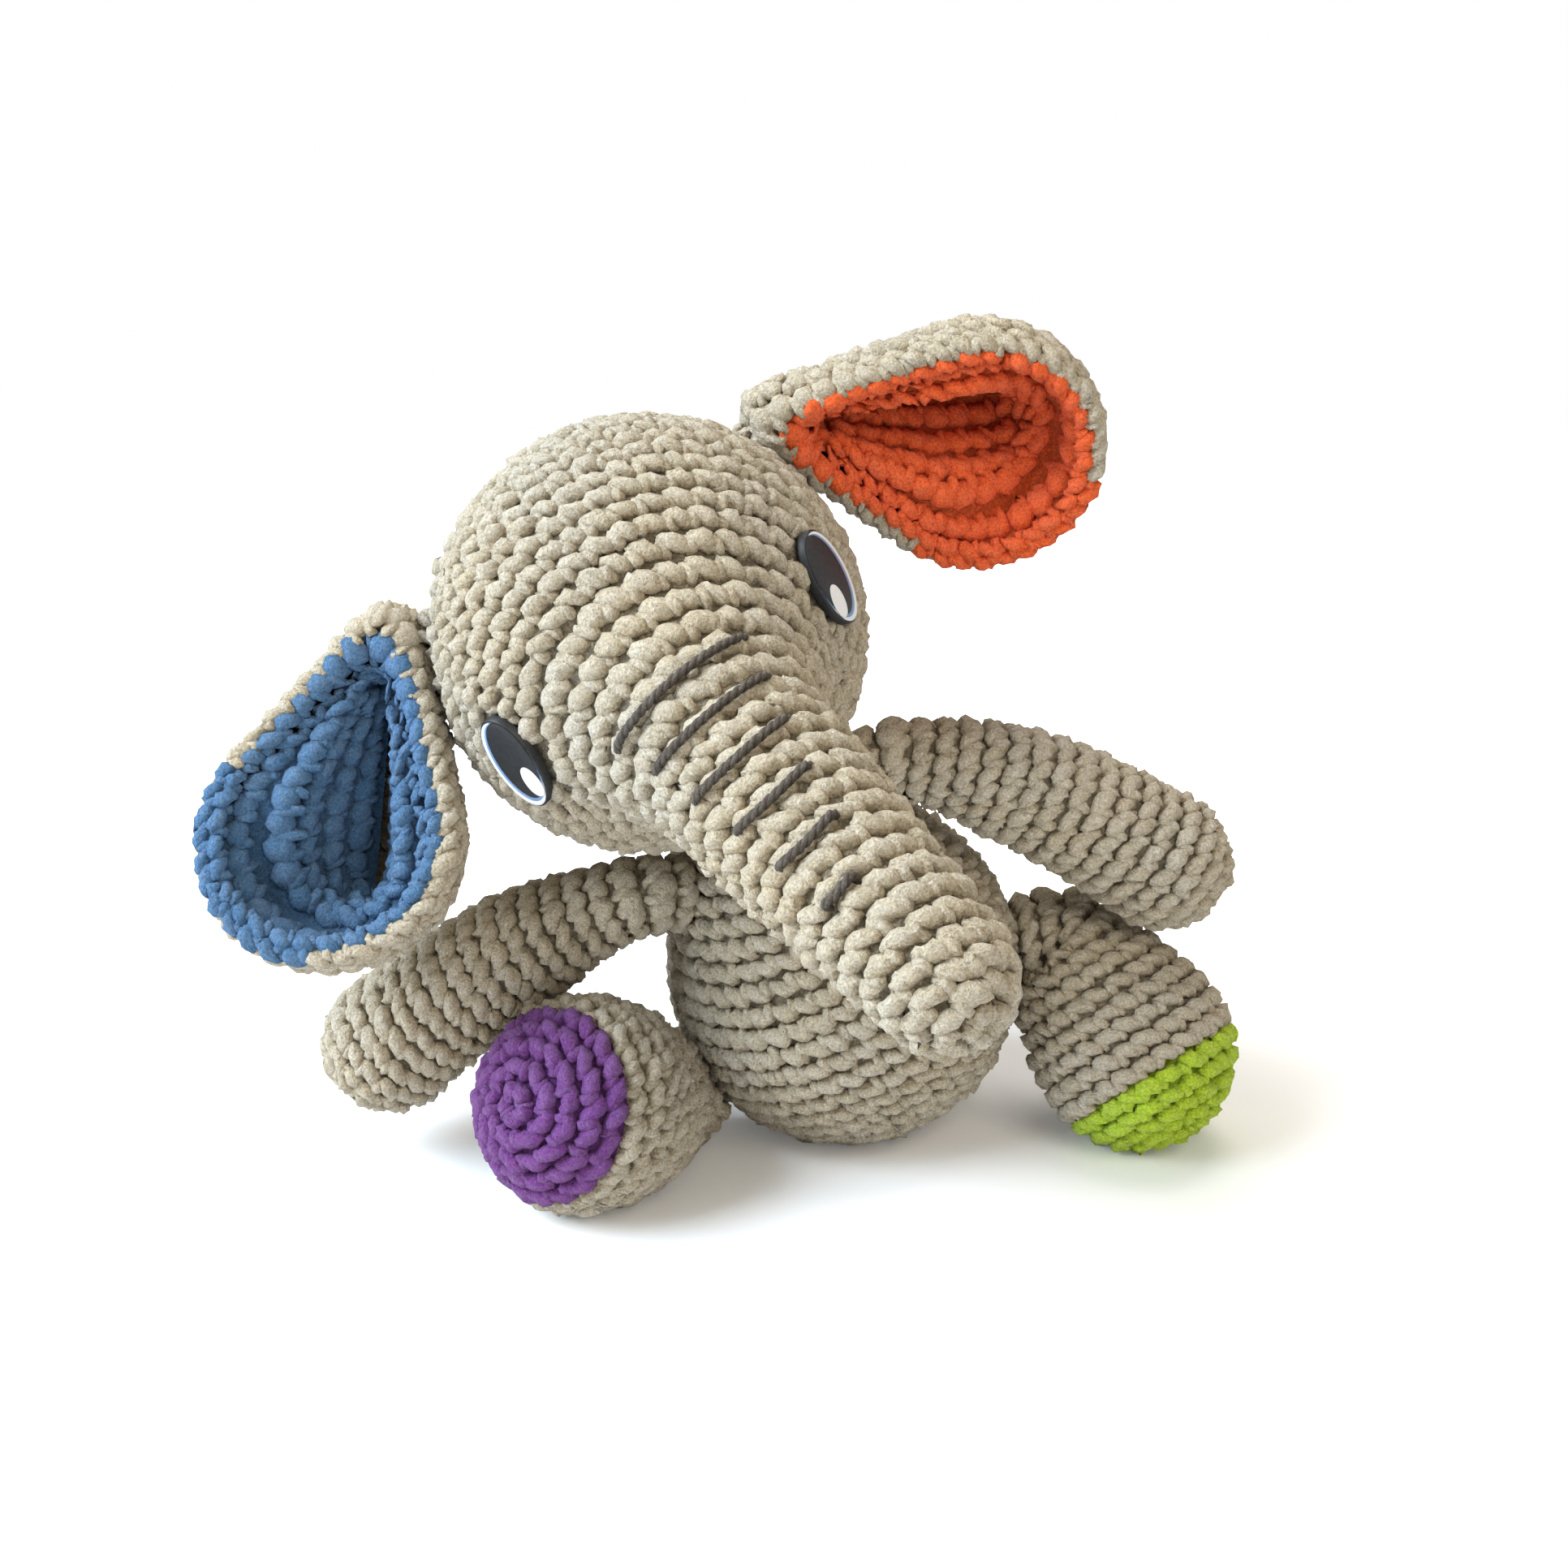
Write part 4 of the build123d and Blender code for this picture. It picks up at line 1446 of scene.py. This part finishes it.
@dataclass
class Elephant:
    """The whole toy."""

    stance: Stance
    arm_radius: float = 0.024
    foot_radius: float = 0.0355

    def arms(self) -> list[Limb]:
        """Both arms."""
        made = []
        for side, joint, upper, fore in (
                (Side.LEFT, "left_arm_raise", (0.98, 0.03, -0.14), (0.87, 0.04, -0.50)),
                (Side.RIGHT, "right_arm_swing", (-0.88, 0.08, -0.38), (-0.78, 0.05, -0.62))):
            pivot = self.stance.pivot(joint)
            elbow = pivot + unit(np.array(upper)) * 0.046
            hand = elbow + unit(np.array(fore)) * 0.062
            shoulder = self.stance.body_centre + self.stance.spine * SHOULDER_RISE
            start = pivot - unit(pivot - shoulder) * 0.014
            sizes = (0.0125, 0.0140, 0.0205, self.arm_radius)
            made.append(Limb(f"{side.value}_arm", joint, "torso", [start, pivot, elbow, hand],
                             (0.0, 0.2, 0.5, 1.0), sizes, self.arm_radius, 41 if side is Side.LEFT else 45))
        return made

    def legs(self) -> list[Limb]:
        """Both legs."""
        made = []
        for side, joint, heading, reach, sole, angle in (
                (Side.LEFT, "left_leg_lift", (0.70, -0.60), 0.0323, GREEN, 70.0),
                (Side.RIGHT, "right_leg_swing", (-0.58, -0.81), 0.0440, PURPLE, 63.0)):
            pivot = self.stance.pivot(joint)
            drop = self.foot_radius - 0.0015 - pivot[2]
            ahead = unit(np.array(heading)) * reach
            foot = pivot + np.array([ahead[0], ahead[1], drop])
            run = unit(foot - pivot)
            start = pivot - unit(pivot - self.stance.body_centre) * 0.016
            made.append(Limb(f"{side.value}_leg", joint, "torso", [start, pivot, pivot + run * 0.025, foot],
                             (0.0, 0.2, 0.5, 0.8, 1.0),
                             (0.0165, 0.0185, 0.0285, 0.0345, self.foot_radius), self.foot_radius,
                             51 if side is Side.LEFT else 55, sole, angle))
        return made

    def ears(self) -> list[Ear]:
        """Both ears."""
        return [
            Ear(self.stance, Side.LEFT, np.array([0.985, 0.07, -0.153]), np.array([0.05, -0.93, -0.36]),
                ORANGE, 61),
            Ear(self.stance, Side.RIGHT, np.array([-0.22, -0.45, -0.865]), np.array([0.05, -0.72, 0.69]),
                BLUE, 71)]

    def seams(self) -> list[Seam]:
        """The sewn rings of the neck, limbs and ears, placed by their boxes."""
        made = []
        rings = [("neck_seam", "torso", self.stance.spine, 0.0266, 0.0020)]
        shoulder = self.stance.body_centre + self.stance.spine * SHOULDER_RISE
        for side, arm, leg in ((Side.LEFT, "left_arm_raise", "left_leg_lift"),
                               (Side.RIGHT, "right_arm_swing", "right_leg_swing")):
            name = side.value
            out = unit(self.stance.pivot(arm) - shoulder)
            hip = unit(self.stance.pivot(leg) - self.stance.body_centre)
            rings.append((f"{name}_arm_seam", "torso", out, 0.0080, 0.0017))
            rings.append((f"{name}_leg_seam", "torso", hip, 0.0110, 0.0019))
            ear = unit(self.stance.pivot(f"{name}_ear_flap") - self.stance.head_centre)
            rings.append((f"{name}_ear_seam", "head", ear, 0.0085, 0.0017))
        for number, (name, body, axis, radius, thickness) in enumerate(rings):
            low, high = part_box(name)
            centre = (np.array(low) + np.array(high)) / 2
            made.append(Seam(name, body, centre, axis, radius, thickness, 80 + number))
        return made

    def build(self) -> None:
        """Build every sub-assembly and report it."""
        eyes = [Eye(self.stance, side) for side in Side]
        groups: list[tuple[str, list[bpy.types.Object]]] = [("body", Body(self.stance).build())]
        groups.append(("head", Head(self.stance).build(eyes)))
        for eye in eyes:
            groups.append((f"{eye.side.value} eye", eye.build()))
        groups.append(("trunk", Trunk(self.stance).build()))
        for limb in self.arms() + self.legs():
            groups.append((limb.name, limb.build(self.stance)))
        for ear in self.ears():
            groups.append((f"{ear.side.value} ear", ear.build()))
        for seam in self.seams():
            groups.append((seam.name, seam.build()))
        for label, pieces in groups:
            faces = sum(len(piece.data.polygons) for piece in pieces)
            LOG.info("%s: %d pieces, %d faces", label, len(pieces), faces)


def dress_washers(nodes: dict[str, bpy.types.Object]) -> None:
    """Give the hidden washers their plastic."""
    for side in Side:
        for slot in nodes[f"{side.value}_eye_washer"].material_slots:
            slot.material = WASHER_WHITE.material()


def main() -> None:
    """Build the scene."""
    logging.basicConfig(level=logging.INFO, format="%(name)s %(message)s")
    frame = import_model()
    Studio().build()
    stance = Stance({joint["name"]: joint for joint in frame["joints"]})
    Elephant(stance).build()
    dress_washers(frame["nodes"])


if __name__ == "__main__":
    main()
